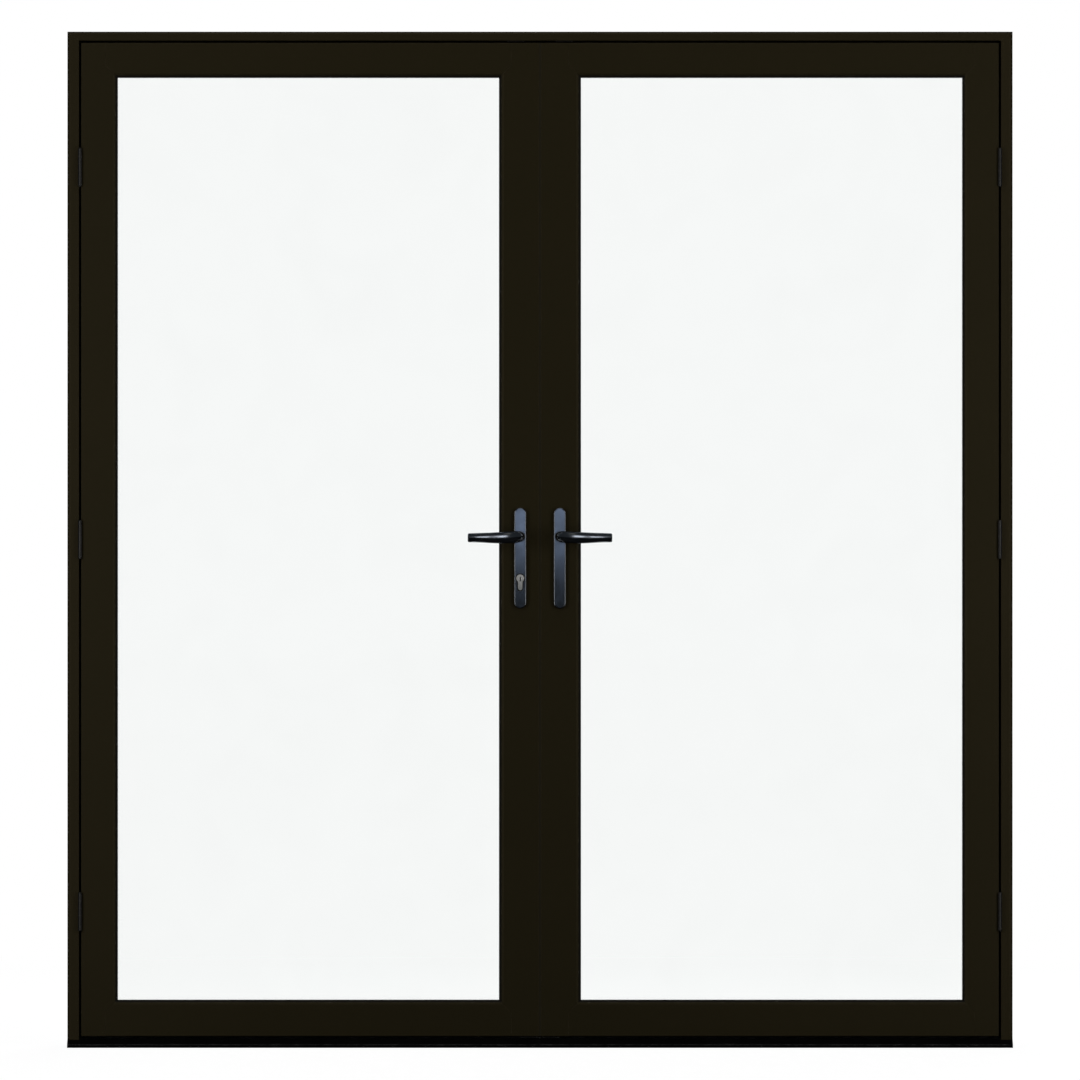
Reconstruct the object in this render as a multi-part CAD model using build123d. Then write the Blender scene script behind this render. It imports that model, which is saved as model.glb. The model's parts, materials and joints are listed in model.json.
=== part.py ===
from build123d import *
import os
from math import acos, cos, pi, radians, sin, sqrt, tan

# Outward-opening pair of glazed aluminium doors in their frame, closed and unlocked.
# X runs across the opening, Y from the outside face inwards, Z up from the underside of the sill.
# Each leaf is modelled on the right; the left one is its mirror image with a key-operated lock.

# Frame: hollow mitred extrusions round three sides
frame_width = 1914.0
frame_height = 2057.0
frame_depth = 102.0
frame_wall = 2.0
jamb_face = 23.5
head_face = 18.0
jamb_stop = 46.0
frame_arris = 4.0
arris_round = 5.0
small_arris = 1.0
anchor_radius = 3.3
anchor_end = 170.5
anchor_count = 4
corner_key_reach = 70.0
corner_key_fit = 0.6

# Sill: a ramp outside, a flat under the leaves and an upstand behind them
sill_height = 19.5
sill_front = 15.0
sill_ramp = 6.0
sill_nose = 14.0
sill_lip = 6.5
sill_round = 1.5
sill_upstand = 40.0
sill_wall = 2.0

# Gaps round the closed leaves
side_gap = 4.5
top_gap = 5.0
bottom_gap = 3.5
meeting_gap = 4.0
seal_gap = 5.0

# Leaves: hollow stiles and rails with a glazing flange outside
leaf_depth = 45.0
leaf_wall = 2.0
hinge_stile_tube = 49.0
lock_stile_tube = 56.0
top_rail_tube = 45.5
bottom_rail_tube = 48.5
flange_reach = 20.0
flange_thickness = 3.0
flange_bevel = 4.0
bevel_drop = 2.0
corner_block_length = 45.0
corner_block_wall = 3.0
corner_block_fit = 0.1
stile_cap_length = 10.0

# Sealed glass unit
glass_thickness = 5.0
glass_cavity = 15.0
glass_cover = 13.5
gasket_thickness = 3.0
gasket_show = 5.0
gasket_grip = 9.0
inner_gasket_show = 3.0
sealant_width = 4.0
spacer_width = 7.0
bead_wall = 1.5
bead_bevel = 3.0
bead_joint = 0.1
setting_block_length = 80.0

# Hinges
hinge_height = 74.0
hinge_end = 252.0
hinges_per_leaf = 3
knuckle_count = 5
knuckle_gap = 0.3
knuckle_radius = 4.0
pin_radius = 2.5
pin_clearance = 0.05
pin_proud = 5.0
pin_tip_radius = 3.5
pin_tip_height = 2.6
hinge_plate_thickness = 1.9
hinge_plate_depth = 30.0
hinge_screw_spread = 25.0
hinge_screws_per_plate = 3

# Countersunk screws
screw_radius = 2.1
screw_head_radius = 4.1
screw_length = 12.0
screw_clearance = 0.1

# Handles
backset = 38.0
spindle_height = 1035.0
spindle_size = 8.0
spindle_grip = 26.0
plate_width = 25.0
plate_above = 58.0
plate_length = 204.5
plate_thickness = 9.0
plate_wall = 2.0
plate_arris = 2.5
plate_boss_radius = 11.2
plate_screw_end = 14.0
plate_screw_boss = 5.0
lever_neck_radius = 9.0
lever_seat = 6.0
lever_standoff = 48.0
lever_reach = 106.0
lever_bend = 20.0
lever_root_height = 24.0
lever_tip_height = 18.0
lever_thickness = 12.0
lever_tip_round = 3.0
lever_droop = 3.0
lever_clearance = 0.05

# Lock gear: a toothed sector on the spindle, a reversing pinion and two racks
gear_module = 1.5
gear_width = 7.0
sector_teeth = 18
sector_from = 100.0
sector_to = 200.0
pinion_teeth = 12
pinion_bore = 2.5
tooth_addendum = 0.65
tooth_dedendum = 1.25
pressure_angle = 20.0
backlash = 0.12
hub_radius = 8.0
lift_angle = 60.0
rack_spine = 5.0
case_wall = 1.5
case_depth = 20.0
case_above = 62.0
case_below = 26.0
bolt_radius = 5.0
bolt_length = 60.0
bolt_recess = 1.0
keep_clearance = 0.6
keep_thickness = 1.5
keep_length = 36.0
keep_depth = 20.0
keep_screw_spread = 12.0
keep_screw_length = 8.0
faceplate_width = 22.0
faceplate_thickness = 2.0
faceplate_above = 70.0
faceplate_below = 130.0
faceplate_screw_end = 6.0
part_gap = 0.3

# Key cylinder and dead bolt of the left leaf
cylinder_drop = 85.0
cylinder_head = 8.5
cylinder_stem = 5.0
cylinder_height = 33.0
cylinder_proud = 0.5
cylinder_rim = 3.0
plug_radius = 6.5
cam_radius = 13.0
cam_width = 10.0
cam_lobe = 8.0
turn_height = 26.0
turn_thickness = 8.0
turn_reach = 22.0
turn_neck = 5.0
turn_neck_radius = 5.1
turn_round = 1.5
keyway_height = 9.0
keyway_width = 2.4
keyway_depth = 8.0
keyway_drop = 1.5
dead_bolt_height = 22.0
dead_bolt_thickness = 8.5
dead_bolt_tail = 40.0
dead_bolt_recess = 0.5
dead_bolt_lift = 14.5

# Rubber seals
bulb_radius = 2.4
bulb_wall = 1.1
seal_stem = 2.0
seal_root = 5.0
seal_root_depth = 1.2
meeting_seal_gap = 0.4
meeting_seal_front = 0.8
meeting_seal_back = 7.2
groove_wall = 1.2
meeting_seal_place = 5.0
sweep_reach = 2.8
sweep_place = 30.0
sweep_width = 3.0

# Places worked out from the sizes above
half_width = frame_width / 2
rebate_depth = leaf_depth + seal_gap
head_stop = jamb_stop * head_face / jamb_face
leaf_out = half_width - jamb_face - side_gap
leaf_in = meeting_gap / 2
leaf_low = sill_height + bottom_gap
leaf_high = frame_height - head_face - top_gap
sight_left = leaf_in + lock_stile_tube + flange_reach
sight_right = leaf_out - hinge_stile_tube - flange_reach
sight_low = leaf_low + bottom_rail_tube + flange_reach
sight_high = leaf_high - top_rail_tube - flange_reach
outer_glass_y = flange_thickness + gasket_thickness
inner_glass_y = outer_glass_y + glass_thickness + glass_cavity
bead_y = inner_glass_y + glass_thickness + gasket_thickness
pin_x = half_width - jamb_face - side_gap / 2
pin_y = -pin_proud
spindle_x = leaf_in + backset
gear_y = leaf_depth / 2 - case_depth / 2 + case_wall + 0.5
gear_mid_y = gear_y + gear_width / 2
sector_radius = gear_module * sector_teeth / 2
pinion_radius = gear_module * pinion_teeth / 2
tooth_pitch = pi * gear_module
lower_pitch_x = spindle_x - sector_radius
pinion_x = lower_pitch_x + pinion_radius
upper_pitch_x = pinion_x + pinion_radius
pinion_z = spindle_height + 6 * tooth_pitch
root_depth = gear_module * tooth_dedendum
lower_rod_x = lower_pitch_x - root_depth - rack_spine / 2
upper_rod_x = upper_pitch_x + root_depth + rack_spine / 2
rack_travel = sector_radius * radians(lift_angle)
cylinder_z = spindle_height - cylinder_drop
cylinder_screw_z = cylinder_z + cylinder_head - cylinder_height + cylinder_stem + 1
plate_top = spindle_height + plate_above
plate_bottom = plate_top - plate_length
plate_screw_heights = (plate_bottom + plate_screw_end, plate_top - plate_screw_end)
dead_bolt_low = cylinder_z + dead_bolt_lift
dead_bolt_y = gear_y + gear_width + 0.5
seal_u = (jamb_face + jamb_stop) / 2
head_seal_u = (head_face + head_stop) / 2
sill_seal_z = (leaf_low + sill_upstand) / 2

RIGHT = Vector(1, 0, 0)
LEFT = Vector(-1, 0, 0)
UP = Vector(0, 0, 1)
DOWN = Vector(0, 0, -1)
INWARD = Vector(0, 1, 0)


def outline(*points):
    """A closed section with straight sides."""
    return Polygon(*points, align=None)


def rect(u0, u1, v0, v1):
    """A rectangular section between two pairs of limits."""
    return outline((u0, v0), (u1, v0), (u1, v1), (u0, v1))


def box(x, y, z):
    """A block between three pairs of limits."""
    middle = Pos((x[0] + x[1]) / 2, (y[0] + y[1]) / 2, (z[0] + z[1]) / 2)
    return middle * Box(x[1] - x[0], y[1] - y[0], z[1] - z[0])


def run(section, u_dir, edge, low, high):
    """Extrude a section whose first axis is u_dir from edge and whose second is Y."""
    along = u_dir.cross(INWARD)
    start = low if along.X + along.Z > 0 else high
    origin = Vector(edge, 0, start) if u_dir.Z == 0 else Vector(start, 0, edge)
    return extrude(Plane(origin, x_dir=u_dir, z_dir=along) * section, high - low, dir=along)


def through(section, y0, y1):
    """Extrude a section drawn in X and Z between two depths."""
    plane = Plane((0, y1, 0), x_dir=(1, 0, 0), z_dir=(0, -1, 0))
    return extrude(plane * section, y1 - y0, dir=(0, -1, 0))


def rod_y(x, z, radius, y0, y1):
    """A round bar along Y."""
    return through(Pos(x, z) * Circle(radius), y0, y1)


def rod_z(x, y, radius, z0, z1):
    """A round bar along Z."""
    return extrude(Plane((x, y, z0)) * Circle(radius), z1 - z0, dir=(0, 0, 1))


def rod_x(y, z, radius, x0, x1):
    """A round bar along X."""
    plane = Plane((x0, y, z), x_dir=(0, 1, 0), z_dir=(1, 0, 0))
    return extrude(plane * Circle(radius), x1 - x0, dir=(1, 0, 0))


def flip(shape):
    """The same piece on the left."""
    return mirror(shape, about=Plane.YZ)


def group(*shapes):
    """Separate solids that share one node."""
    return Compound([solid for shape in shapes for solid in shape.solids()])


def countersunk_screw(head, direction, length=screw_length):
    """A flat-head screw whose head lies flush at a point."""
    cone_height = screw_head_radius - screw_radius
    cone = Pos(0, 0, cone_height / 2) * Cone(screw_head_radius, screw_radius, cone_height)
    shank = Pos(0, 0, length / 2) * Cylinder(screw_radius, length)
    drive = Pos(0, 0, 0.6) * Box(3.2, 3.2, 1.2)
    return Plane(head, z_dir=direction) * (cone + shank - drive)


def screw_hole(head, direction, length=screw_length):
    """The countersunk hole that such a screw goes into."""
    head_radius = screw_head_radius + screw_clearance
    shank_radius = screw_radius + screw_clearance
    cone_height = head_radius - shank_radius
    cone = Pos(0, 0, cone_height / 2) * Cone(head_radius, shank_radius, cone_height)
    shank = Pos(0, 0, length / 2) * Cylinder(shank_radius, length)
    return Plane(head, z_dir=direction) * (cone + shank)


def frame_section(face, stop, seal_at):
    """Jamb or head: a shallow box beside the leaf, bevelled outside, and a deeper one behind it."""
    deep = frame_arris
    wide = frame_arris * face / jamb_face
    shell = outline((0, deep), (wide, 0), (face, 0), (face, rebate_depth), (stop, rebate_depth),
                    (stop, frame_depth), (0, frame_depth))
    shell = fillet([v for v in shell.vertices() if abs(v.X - wide) + abs(v.Y) < 0.01], arris_round)
    sharp = [v for v in shell.vertices() if abs(v.X - face) < 0.01 and v.Y < 0.01]
    sharp += [v for v in shell.vertices() if v.X < 0.01 and abs(v.Y - deep) < 0.01]
    shell = fillet(sharp, small_arris)
    w = frame_wall
    shift = wide * deep + w * sqrt(wide * wide + deep * deep)
    beside = outline((w, (shift - deep * w) / wide), ((shift - wide * w) / deep, w), (face - w, w),
                     (face - w, rebate_depth), (w, rebate_depth))
    behind = rect(w, stop - w, rebate_depth + w, frame_depth - w)
    slot = rect(seal_at - seal_stem / 2, seal_at + seal_stem / 2,
                rebate_depth - 1, rebate_depth + w + 1)
    return shell - beside - behind - slot


def sill_envelope():
    """The sill's outer form, drawn in height and depth."""
    form = outline((0, -sill_nose), (sill_lip, -sill_nose), (sill_front, 0),
                   (sill_height, sill_ramp), (sill_height, rebate_depth),
                   (sill_upstand, rebate_depth), (sill_upstand, frame_depth), (0, frame_depth))
    nose = [v for v in form.vertices() if abs(v.X - sill_lip) + abs(v.Y + sill_nose) < 0.01]
    return fillet(nose, sill_round)


def sill_section():
    """The sill's hollow form with two ribs, a drip groove and a slot for its seal."""
    w = sill_wall
    rib = (sill_ramp + rebate_depth) / 2
    front = rect(w, sill_height - w, sill_ramp + w, rib)
    back = rect(w, sill_height - w, rib + w, rebate_depth)
    upstand = rect(w, sill_upstand - w, rebate_depth + w, frame_depth - w)
    nose = outline((w, -sill_nose + 2 * w), (sill_lip - w / 2, -sill_nose + 2 * w),
                   (sill_front - w, 0), (sill_front - w, sill_ramp), (w, sill_ramp))
    drip = rect(-1, 1, -sill_nose + 1.5, -sill_nose + 3)
    slot = rect(sill_seal_z - seal_stem / 2, sill_seal_z + seal_stem / 2,
                rebate_depth - 1, rebate_depth + w + 1)
    return sill_envelope() - front - back - upstand - nose - drip - slot


def bulb_seal(u, wall):
    """A hollow bulb in front of the stop, held by a barbed root behind its wall."""
    centre_y = leaf_depth + part_gap + bulb_radius
    bulb = Pos(u, centre_y) * Circle(bulb_radius)
    neck = rect(u - bulb_radius / 2, u + bulb_radius / 2, centre_y, rebate_depth)
    hollow = Pos(u, centre_y) * Circle(bulb_radius - bulb_wall)
    stem = rect(u - seal_stem / 2, u + seal_stem / 2, rebate_depth - 0.1, rebate_depth + wall)
    root = rect(u - seal_root / 2, u + seal_root / 2,
                rebate_depth + wall, rebate_depth + wall + seal_root_depth)
    front = rect(u - seal_root, u + seal_root, leaf_depth, rebate_depth)
    return ((bulb + neck) & front) - hollow + stem + root


def mitre_sides():
    """Blocks that hold all below and all above the mitre planes of the two head corners."""
    slope = head_face / jamb_face
    corner = (half_width, frame_height)
    far = (half_width - 2 * jamb_stop, frame_height - 2 * jamb_stop * slope)
    below = outline(corner, far, (far[0], -1), (half_width + 1, -1), (half_width + 1, frame_height))
    above = outline(corner, far, (-far[0], far[1]), (-corner[0], corner[1]))
    return through(below, -1, frame_depth + 1), through(above, -1, frame_depth + 1)


def frame_members():
    """Two jambs and a head that meet on one mitre plane, and the sill that they stand on."""
    below, above = mitre_sides()
    jamb = below & run(frame_section(jamb_face, jamb_stop, seal_u), LEFT, half_width,
                       0, frame_height)
    head = above & run(frame_section(head_face, head_stop, head_seal_u), DOWN, frame_height,
                       -half_width, half_width)
    jamb = jamb - run(sill_envelope(), UP, 0, -half_width - 1, half_width + 1)
    for z in anchor_heights():
        jamb = jamb - rod_x((rebate_depth + frame_depth) / 2, z, anchor_radius,
                            half_width - jamb_stop - 1, half_width + 1)
    sill = run(sill_section(), UP, 0, -half_width, half_width)
    return jamb, head, sill


def anchor_heights():
    """Heights of the fixing holes in each jamb, evenly spaced."""
    step = (frame_height - 2 * anchor_end) / (anchor_count - 1)
    return [anchor_end + k * step for k in range(anchor_count)]


def corner_keys():
    """Angle cleats that slide into both hollows of a mitred corner and hold it square."""
    fit = corner_key_fit
    w = frame_wall
    reach = corner_key_reach

    def cleat(jamb_limit, head_limit, y):
        x0, x1 = half_width - jamb_limit + w + fit, half_width - w
        z0, z1 = frame_height - head_limit + w + fit, frame_height - w
        upright = box((x0, x1), y, (frame_height - reach, z1))
        level = box((half_width - reach, x1), y, (z0, z1))
        return upright + level

    beside = cleat(jamb_face, head_face, (frame_arris + 1, rebate_depth - 1))
    behind = cleat(jamb_stop, head_stop,
                   (rebate_depth + w + seal_root_depth + 1, frame_depth - w - fit))
    return beside, behind


def frame_seals():
    """Bulb seals on the two jamb stops, the head stop and the sill's upstand."""
    below, above = mitre_sides()
    upright = below & run(bulb_seal(seal_u, frame_wall), LEFT, half_width,
                          sill_upstand + part_gap, frame_height)
    level = above & run(bulb_seal(head_seal_u, frame_wall), DOWN, frame_height,
                        -half_width, half_width)
    ends = half_width - seal_u
    low = run(bulb_seal(sill_seal_z, sill_wall), UP, 0, -ends, ends)
    return upright, flip(upright), level, low


def hinge_heights():
    """Middles of the hinges, the end ones equally far from the leaf's ends."""
    low, high = leaf_low + hinge_end, leaf_high - hinge_end
    step = (high - low) / (hinges_per_leaf - 1)
    return [low + k * step for k in range(hinges_per_leaf)]


def hinge_screw_points(x, z):
    """Screw heads of one hinge plate."""
    first = -(hinge_screws_per_plate - 1) / 2
    y = hinge_plate_depth * 0.55
    return [Vector(x, y, z + (first + k) * hinge_screw_spread)
            for k in range(hinge_screws_per_plate)]


def hinge_half(x0, x1, own_knuckles, z):
    """One plate of a butt hinge with its share of the knuckles."""
    pitch = (hinge_height + knuckle_gap) / knuckle_count
    low = z - hinge_height / 2
    half = box((x0, x1), (0, hinge_plate_depth), (low, low + hinge_height))
    for k in own_knuckles:
        z0 = low + k * pitch
        z1 = z0 + pitch - knuckle_gap
        half = half + rod_z(pin_x, pin_y, knuckle_radius, z0, z1)
        half = half + box((x0, x1), (pin_y, 0.5), (z0, z1))
    return half - rod_z(pin_x, pin_y, pin_radius + pin_clearance, low - 1, low + hinge_height + 1)


def hinge_pin(z):
    """A hinge pin with a domed tip at each end."""
    pin = rod_z(pin_x, pin_y, pin_radius, z - hinge_height / 2, z + hinge_height / 2)
    for side in (-1, 1):
        middle = z + side * (hinge_height / 2 + pin_tip_height / 2)
        tip = Pos(pin_x, pin_y, middle) * Cylinder(pin_tip_radius, pin_tip_height)
        rim = tip.edges().filter_by(GeomType.CIRCLE).sort_by(Axis.Z)[-1 if side > 0 else 0]
        pin = pin + fillet(rim, pin_tip_height * 0.6)
        pin = pin + rod_z(pin_x, pin_y, pin_radius, min(z, middle), max(z, middle))
    return pin


def bolt_keep(x, face_z, side):
    """A pierced plate that takes a shoot bolt, on the head when side is down, else on the sill."""
    z = sorted((face_z, face_z + side * keep_thickness))
    y = (gear_mid_y - keep_depth / 2, gear_mid_y + keep_depth / 2)
    plate = box((x - keep_length / 2, x + keep_length / 2), y, z)
    plate = fillet(plate.edges().filter_by(Axis.Z), 3.0)
    return plate - rod_z(x, gear_mid_y, bolt_radius + keep_clearance, z[0] - 1, z[1] + 1)


def keep_screw_points(x, face_z, side):
    """Screw heads of one bolt keep."""
    z = face_z + side * keep_thickness
    return [Vector(x + offset, gear_mid_y, z) for offset in (-keep_screw_spread, keep_screw_spread)]


def tube_section(width):
    """A hollow stile or rail, its outer corners eased."""
    shell = rect(0, width, 0, leaf_depth)
    shell = fillet([v for v in shell.vertices() if v.X < 0.01], small_arris)
    w = leaf_wall
    return shell - rect(w, width - w, w, leaf_depth - w)


def flange_section():
    """The flange that covers the glass edge outside, bevelled towards the glass."""
    return outline((-flange_reach, 0), (-flange_bevel, 0), (0, bevel_drop), (0, flange_thickness),
                   (-flange_reach, flange_thickness))


def leaf_members():
    """Full-height stiles and the rails between them, their flanges mitred round the glass."""
    below, beside, above, closing = mitred_loop(flange_section())
    hinge_stile = run(tube_section(hinge_stile_tube), LEFT, leaf_out, leaf_low, leaf_high) + beside
    lock_stile = run(tube_section(lock_stile_tube), RIGHT, leaf_in, leaf_low, leaf_high) + closing
    between = (leaf_in + lock_stile_tube, leaf_out - hinge_stile_tube)
    bottom_rail = run(tube_section(bottom_rail_tube), UP, leaf_low, *between) + below
    top_rail = run(tube_section(top_rail_tube), DOWN, leaf_high, *between) + above
    sweep_slot = box((between[0] - 1, between[1] + 1),
                     (sweep_place - seal_stem / 2, sweep_place + seal_stem / 2),
                     (leaf_low - 1, leaf_low + leaf_wall + 0.5))
    return hinge_stile, lock_stile, top_rail, bottom_rail - sweep_slot


def corner_blocks():
    """Hollow blocks inside the ends of the rails, screwed through the stiles."""
    w = leaf_wall + corner_block_fit
    c = corner_block_wall
    blocks = []
    for edge, u_dir, tube in ((leaf_low, UP, bottom_rail_tube), (leaf_high, DOWN, top_rail_tube)):
        first = w if u_dir is DOWN else w + seal_root_depth
        hollow = rect(first + c, tube - w - c, w + c, leaf_depth - w - c)
        section = rect(first, tube - w, w, leaf_depth - w) - hollow
        for end, way in ((leaf_in + lock_stile_tube, 1), (leaf_out - hinge_stile_tube, -1)):
            span = sorted((end, end + way * corner_block_length))
            blocks.append(run(section, u_dir, edge, *span))
    return blocks


def sight_corners(outward):
    """Corners of the sight rectangle, moved outwards or inwards, from the bottom left round."""
    x0, x1 = sight_left - outward, sight_right + outward
    z0, z1 = sight_low - outward, sight_high + outward
    return [(x0, z0), (x1, z0), (x1, z1), (x0, z1)]


def mitred_loop(section, joint=0.0):
    """Four mitred lengths round the glass; the section runs from the sight line outwards as -u."""
    reach = flange_reach
    far, near = sight_corners(reach), sight_corners(-reach)
    sides = ((UP, sight_low, 0), (LEFT, sight_right, 1), (DOWN, sight_high, 0),
             (RIGHT, sight_left, 1))
    pieces = []
    for k, (u_dir, edge, axis) in enumerate(sides):
        after = (k + 1) % 4
        ends = sorted((far[k][axis], far[after][axis]))
        wedge = [Vector(*point) for point in (far[k], far[after], near[after], near[k])]
        back = (wedge[1] - wedge[0]).normalized() * joint
        wedge = outline(wedge[0] + back, wedge[1] - back, wedge[2] - back, wedge[3] + back)
        pieces.append(run(section, u_dir, edge, *ends) & through(wedge, -1, leaf_depth + 1))
    return pieces


def loop_between(outer, inner, y0, y1):
    """A rectangular ring round the glass between two distances outside the sight line."""
    far, near = sight_corners(outer), sight_corners(inner)
    return (box((far[0][0], far[1][0]), (y0, y1), (far[0][1], far[2][1]))
            - box((near[0][0], near[1][0]), (y0 - 1, y1 + 1), (near[0][1], near[2][1])))


def glass_panes():
    """The two panes of the sealed unit."""
    far = sight_corners(glass_cover)
    return [box((far[0][0], far[1][0]), (y, y + glass_thickness), (far[0][1], far[2][1]))
            for y in (outer_glass_y, inner_glass_y)]


def glazing_rubbers():
    """Outer wedge gasket, inner gasket, edge sealant and the two blocks that the unit stands on."""
    y0, y1 = flange_thickness, outer_glass_y
    wedge = outline((-gasket_grip, y0), (0, y0), (gasket_show, y1 - 1), (gasket_show, y1),
                    (-gasket_grip, y1))
    outer = Part() + mitred_loop(wedge)
    y0, y1 = inner_glass_y + glass_thickness, bead_y
    lip = outline((-gasket_grip, y0), (inner_gasket_show, y0), (inner_gasket_show, y0 + 1),
                  (0, y1), (-gasket_grip, y1))
    inner = Part() + mitred_loop(lip)
    cavity = (outer_glass_y + glass_thickness, inner_glass_y)
    sealant = loop_between(glass_cover, glass_cover - sealant_width, *cavity)
    blocks = []
    for share in (0.25, 0.75):
        x = sight_left + share * (sight_right - sight_left)
        blocks.append(box((x - setting_block_length / 2, x + setting_block_length / 2),
                          (outer_glass_y, inner_glass_y + glass_thickness),
                          (sight_low - flange_reach, sight_low - glass_cover)))
    return [outer, inner, sealant] + blocks


def glazing_beads():
    """Hollow beads that hold the glass from inside, mitred at the corners."""
    b, w = bead_bevel, bead_wall
    shell = outline((-flange_reach, bead_y), (0, bead_y), (0, leaf_depth - b), (-b, leaf_depth),
                    (-flange_reach, leaf_depth))
    inside = outline((-flange_reach + w, bead_y + w), (-w, bead_y + w), (-w, leaf_depth - b - w / 2),
                     (-b - w / 2, leaf_depth - w), (-flange_reach + w, leaf_depth - w))
    return mitred_loop(shell - inside, bead_joint)


def leaf_seal(place, reach, front, back):
    """A strip that stands out of a leaf edge, with its root behind the wall."""
    strip = rect(-reach, 0, front, back)
    strip = fillet([v for v in strip.vertices() if v.X < -reach + 0.01], reach * 0.35)
    stem = rect(-0.1, leaf_wall, place - seal_stem / 2, place + seal_stem / 2)
    root = rect(leaf_wall, leaf_wall + seal_root_depth,
                place - seal_root / 2, place + seal_root / 2)
    return strip + stem + root


def groove_depth():
    """How far the wall of a seal groove reaches into the closing stile."""
    return leaf_wall + seal_root_depth + part_gap + groove_wall


def groove_section(place):
    """Walls of the groove that holds the meeting-edge strip by its root."""
    half = seal_root / 2 + part_gap
    walls = rect(0, groove_depth(), place - half - groove_wall, place + half + groove_wall)
    hollow = rect(leaf_wall, groove_depth() - groove_wall, place - half, place + half)
    return walls - hollow


def stile_caps():
    """Plugs in the four stile ends; those of the closing stile guide the shoot bolts."""
    w = leaf_wall
    y = (w, leaf_depth - w)
    lock_x = (leaf_in + w, leaf_in + lock_stile_tube - w)
    hinge_x = (leaf_out - hinge_stile_tube + w, leaf_out - w)
    ends = ((leaf_low, leaf_low + stile_cap_length, lower_rod_x),
            (leaf_high - stile_cap_length, leaf_high, upper_rod_x))
    caps = []
    for z0, z1, rod_x_place in ends:
        bore = rod_z(rod_x_place, gear_mid_y, bolt_radius + pin_clearance, z0 - 1, z1 + 1)
        cut = groove_depth() + part_gap
        half = seal_root / 2 + groove_wall + 2 * part_gap
        notch = box((leaf_in, leaf_in + cut), (meeting_seal_place - half, meeting_seal_place + half),
                    (z0 - 1, z1 + 1))
        caps.append(box(lock_x, y, (z0, z1)) - bore - notch)
        caps.append(box(hinge_x, y, (z0, z1)))
    return caps


def plate_slot(width, length):
    """The round-ended outline of a handle plate, drawn in X and Z."""
    middle = plate_top - plate_length / 2
    return Pos(spindle_x, middle) * Rot(0, 0, 90) * SlotOverall(length, width)


def euro_profile(clearance=0.0):
    """Keyhole-shaped outline of the lock cylinder, drawn in X and Z."""
    stem_z = cylinder_z + cylinder_head - cylinder_height + cylinder_stem
    head = Pos(spindle_x, cylinder_z) * Circle(cylinder_head + clearance)
    foot = Pos(spindle_x, stem_z) * Circle(cylinder_stem + clearance)
    stem = rect(spindle_x - cylinder_stem - clearance, spindle_x + cylinder_stem + clearance,
                stem_z, cylinder_z)
    return head + foot + stem


def outer_plate(keyed):
    """Outside handle plate, a thin casting with a bearing for the lever and two screw bosses."""
    t = plate_thickness
    plate = through(plate_slot(plate_width, plate_length), -t, 0)
    rim = plate.faces().sort_by(Axis.Y)[0].edges()
    plate = fillet(rim, plate_arris)
    w = plate_wall
    hollow = through(plate_slot(plate_width - 2 * w, plate_length - 2 * w), w - t, 1)
    hollow = hollow - rod_y(spindle_x, spindle_height, plate_boss_radius, -t, 2)
    for z in plate_screw_heights:
        hollow = hollow - rod_y(spindle_x, z, plate_screw_boss, -t, 2)
    if keyed:
        hollow = hollow - through(euro_profile(cylinder_rim), -t, 2)
    plate = plate - hollow
    plate = plate - rod_y(spindle_x, spindle_height, lever_neck_radius + lever_clearance,
                          -t - 1, 1)
    if keyed:
        plate = plate - through(euro_profile(part_gap), -t - 1, 1)
    for z in plate_screw_heights:
        plate = plate - rod_y(spindle_x, z, screw_radius + screw_clearance, -t + w + 1, 1)
    return plate


def inner_plate(keyed):
    """Inside handle plate: the outside one turned round, pierced for its two screws."""
    plate = mirror(outer_plate(keyed), about=Plane.XZ.offset(-leaf_depth / 2))
    for z in plate_screw_heights:
        head = Vector(spindle_x, leaf_depth + plate_thickness, z)
        plate = plate - screw_hole(head, (0, -1, 0), plate_thickness + 1)
    return plate


def plate_screws():
    """Two screws that clamp the plates together through the stile."""
    length = leaf_depth + 2 * plate_thickness - plate_wall - 2
    heads = [Vector(spindle_x, leaf_depth + plate_thickness, z) for z in plate_screw_heights]
    return [countersunk_screw(head, (0, -1, 0), length) for head in heads]


def lever_section(x, y, z, along, height, thickness):
    """An oval slice of the lever, square to its path."""
    plane = Plane((x, y, z), x_dir=(0, 0, 1), z_dir=along)
    return plane * Ellipse(height / 2, thickness / 2)


def outer_lever():
    """A round neck that bends into a flat oval grip pointing towards the hinges."""
    x, z, out = spindle_x, spindle_height, -lever_standoff
    neck_end = out + lever_bend
    neck = rod_y(x, z, lever_neck_radius, neck_end, -plate_thickness + lever_seat)
    bend, root, tip, thick = lever_bend, lever_root_height, lever_tip_height, lever_thickness
    grip_end, low = x + lever_reach, z - lever_droop
    slices = [
        lever_section(x, neck_end, z, (0, -1, 0), 2 * lever_neck_radius, 2 * lever_neck_radius),
        lever_section(x + bend * 0.3, out + bend * 0.3, (2 * z + low) / 3, (1, -1, 0), root * 0.95,
                      thick * 1.3),
        lever_section(x + bend, out, (z + 2 * low) / 3, (1, 0, 0), root, thick * 1.08),
        lever_section((x + bend + grip_end) / 2, out, low, (1, 0, 0), (root + tip) / 2, thick),
        lever_section(grip_end, out, low, (1, 0, 0), tip, thick * 0.92),
    ]
    grip = loft([piece.face() for piece in slices])
    grip = fillet(grip.faces().sort_by(Axis.X)[-1].edges(), lever_tip_round)
    lever = neck + grip
    hole = spindle_size + 2 * lever_clearance
    return lever - box((x - hole / 2, x + hole / 2), (-spindle_grip - plate_thickness, 1),
                       (z - hole / 2, z + hole / 2))


def inner_lever():
    """The inside lever, the outside one turned round."""
    return mirror(outer_lever(), about=Plane.XZ.offset(-leaf_depth / 2))


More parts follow.
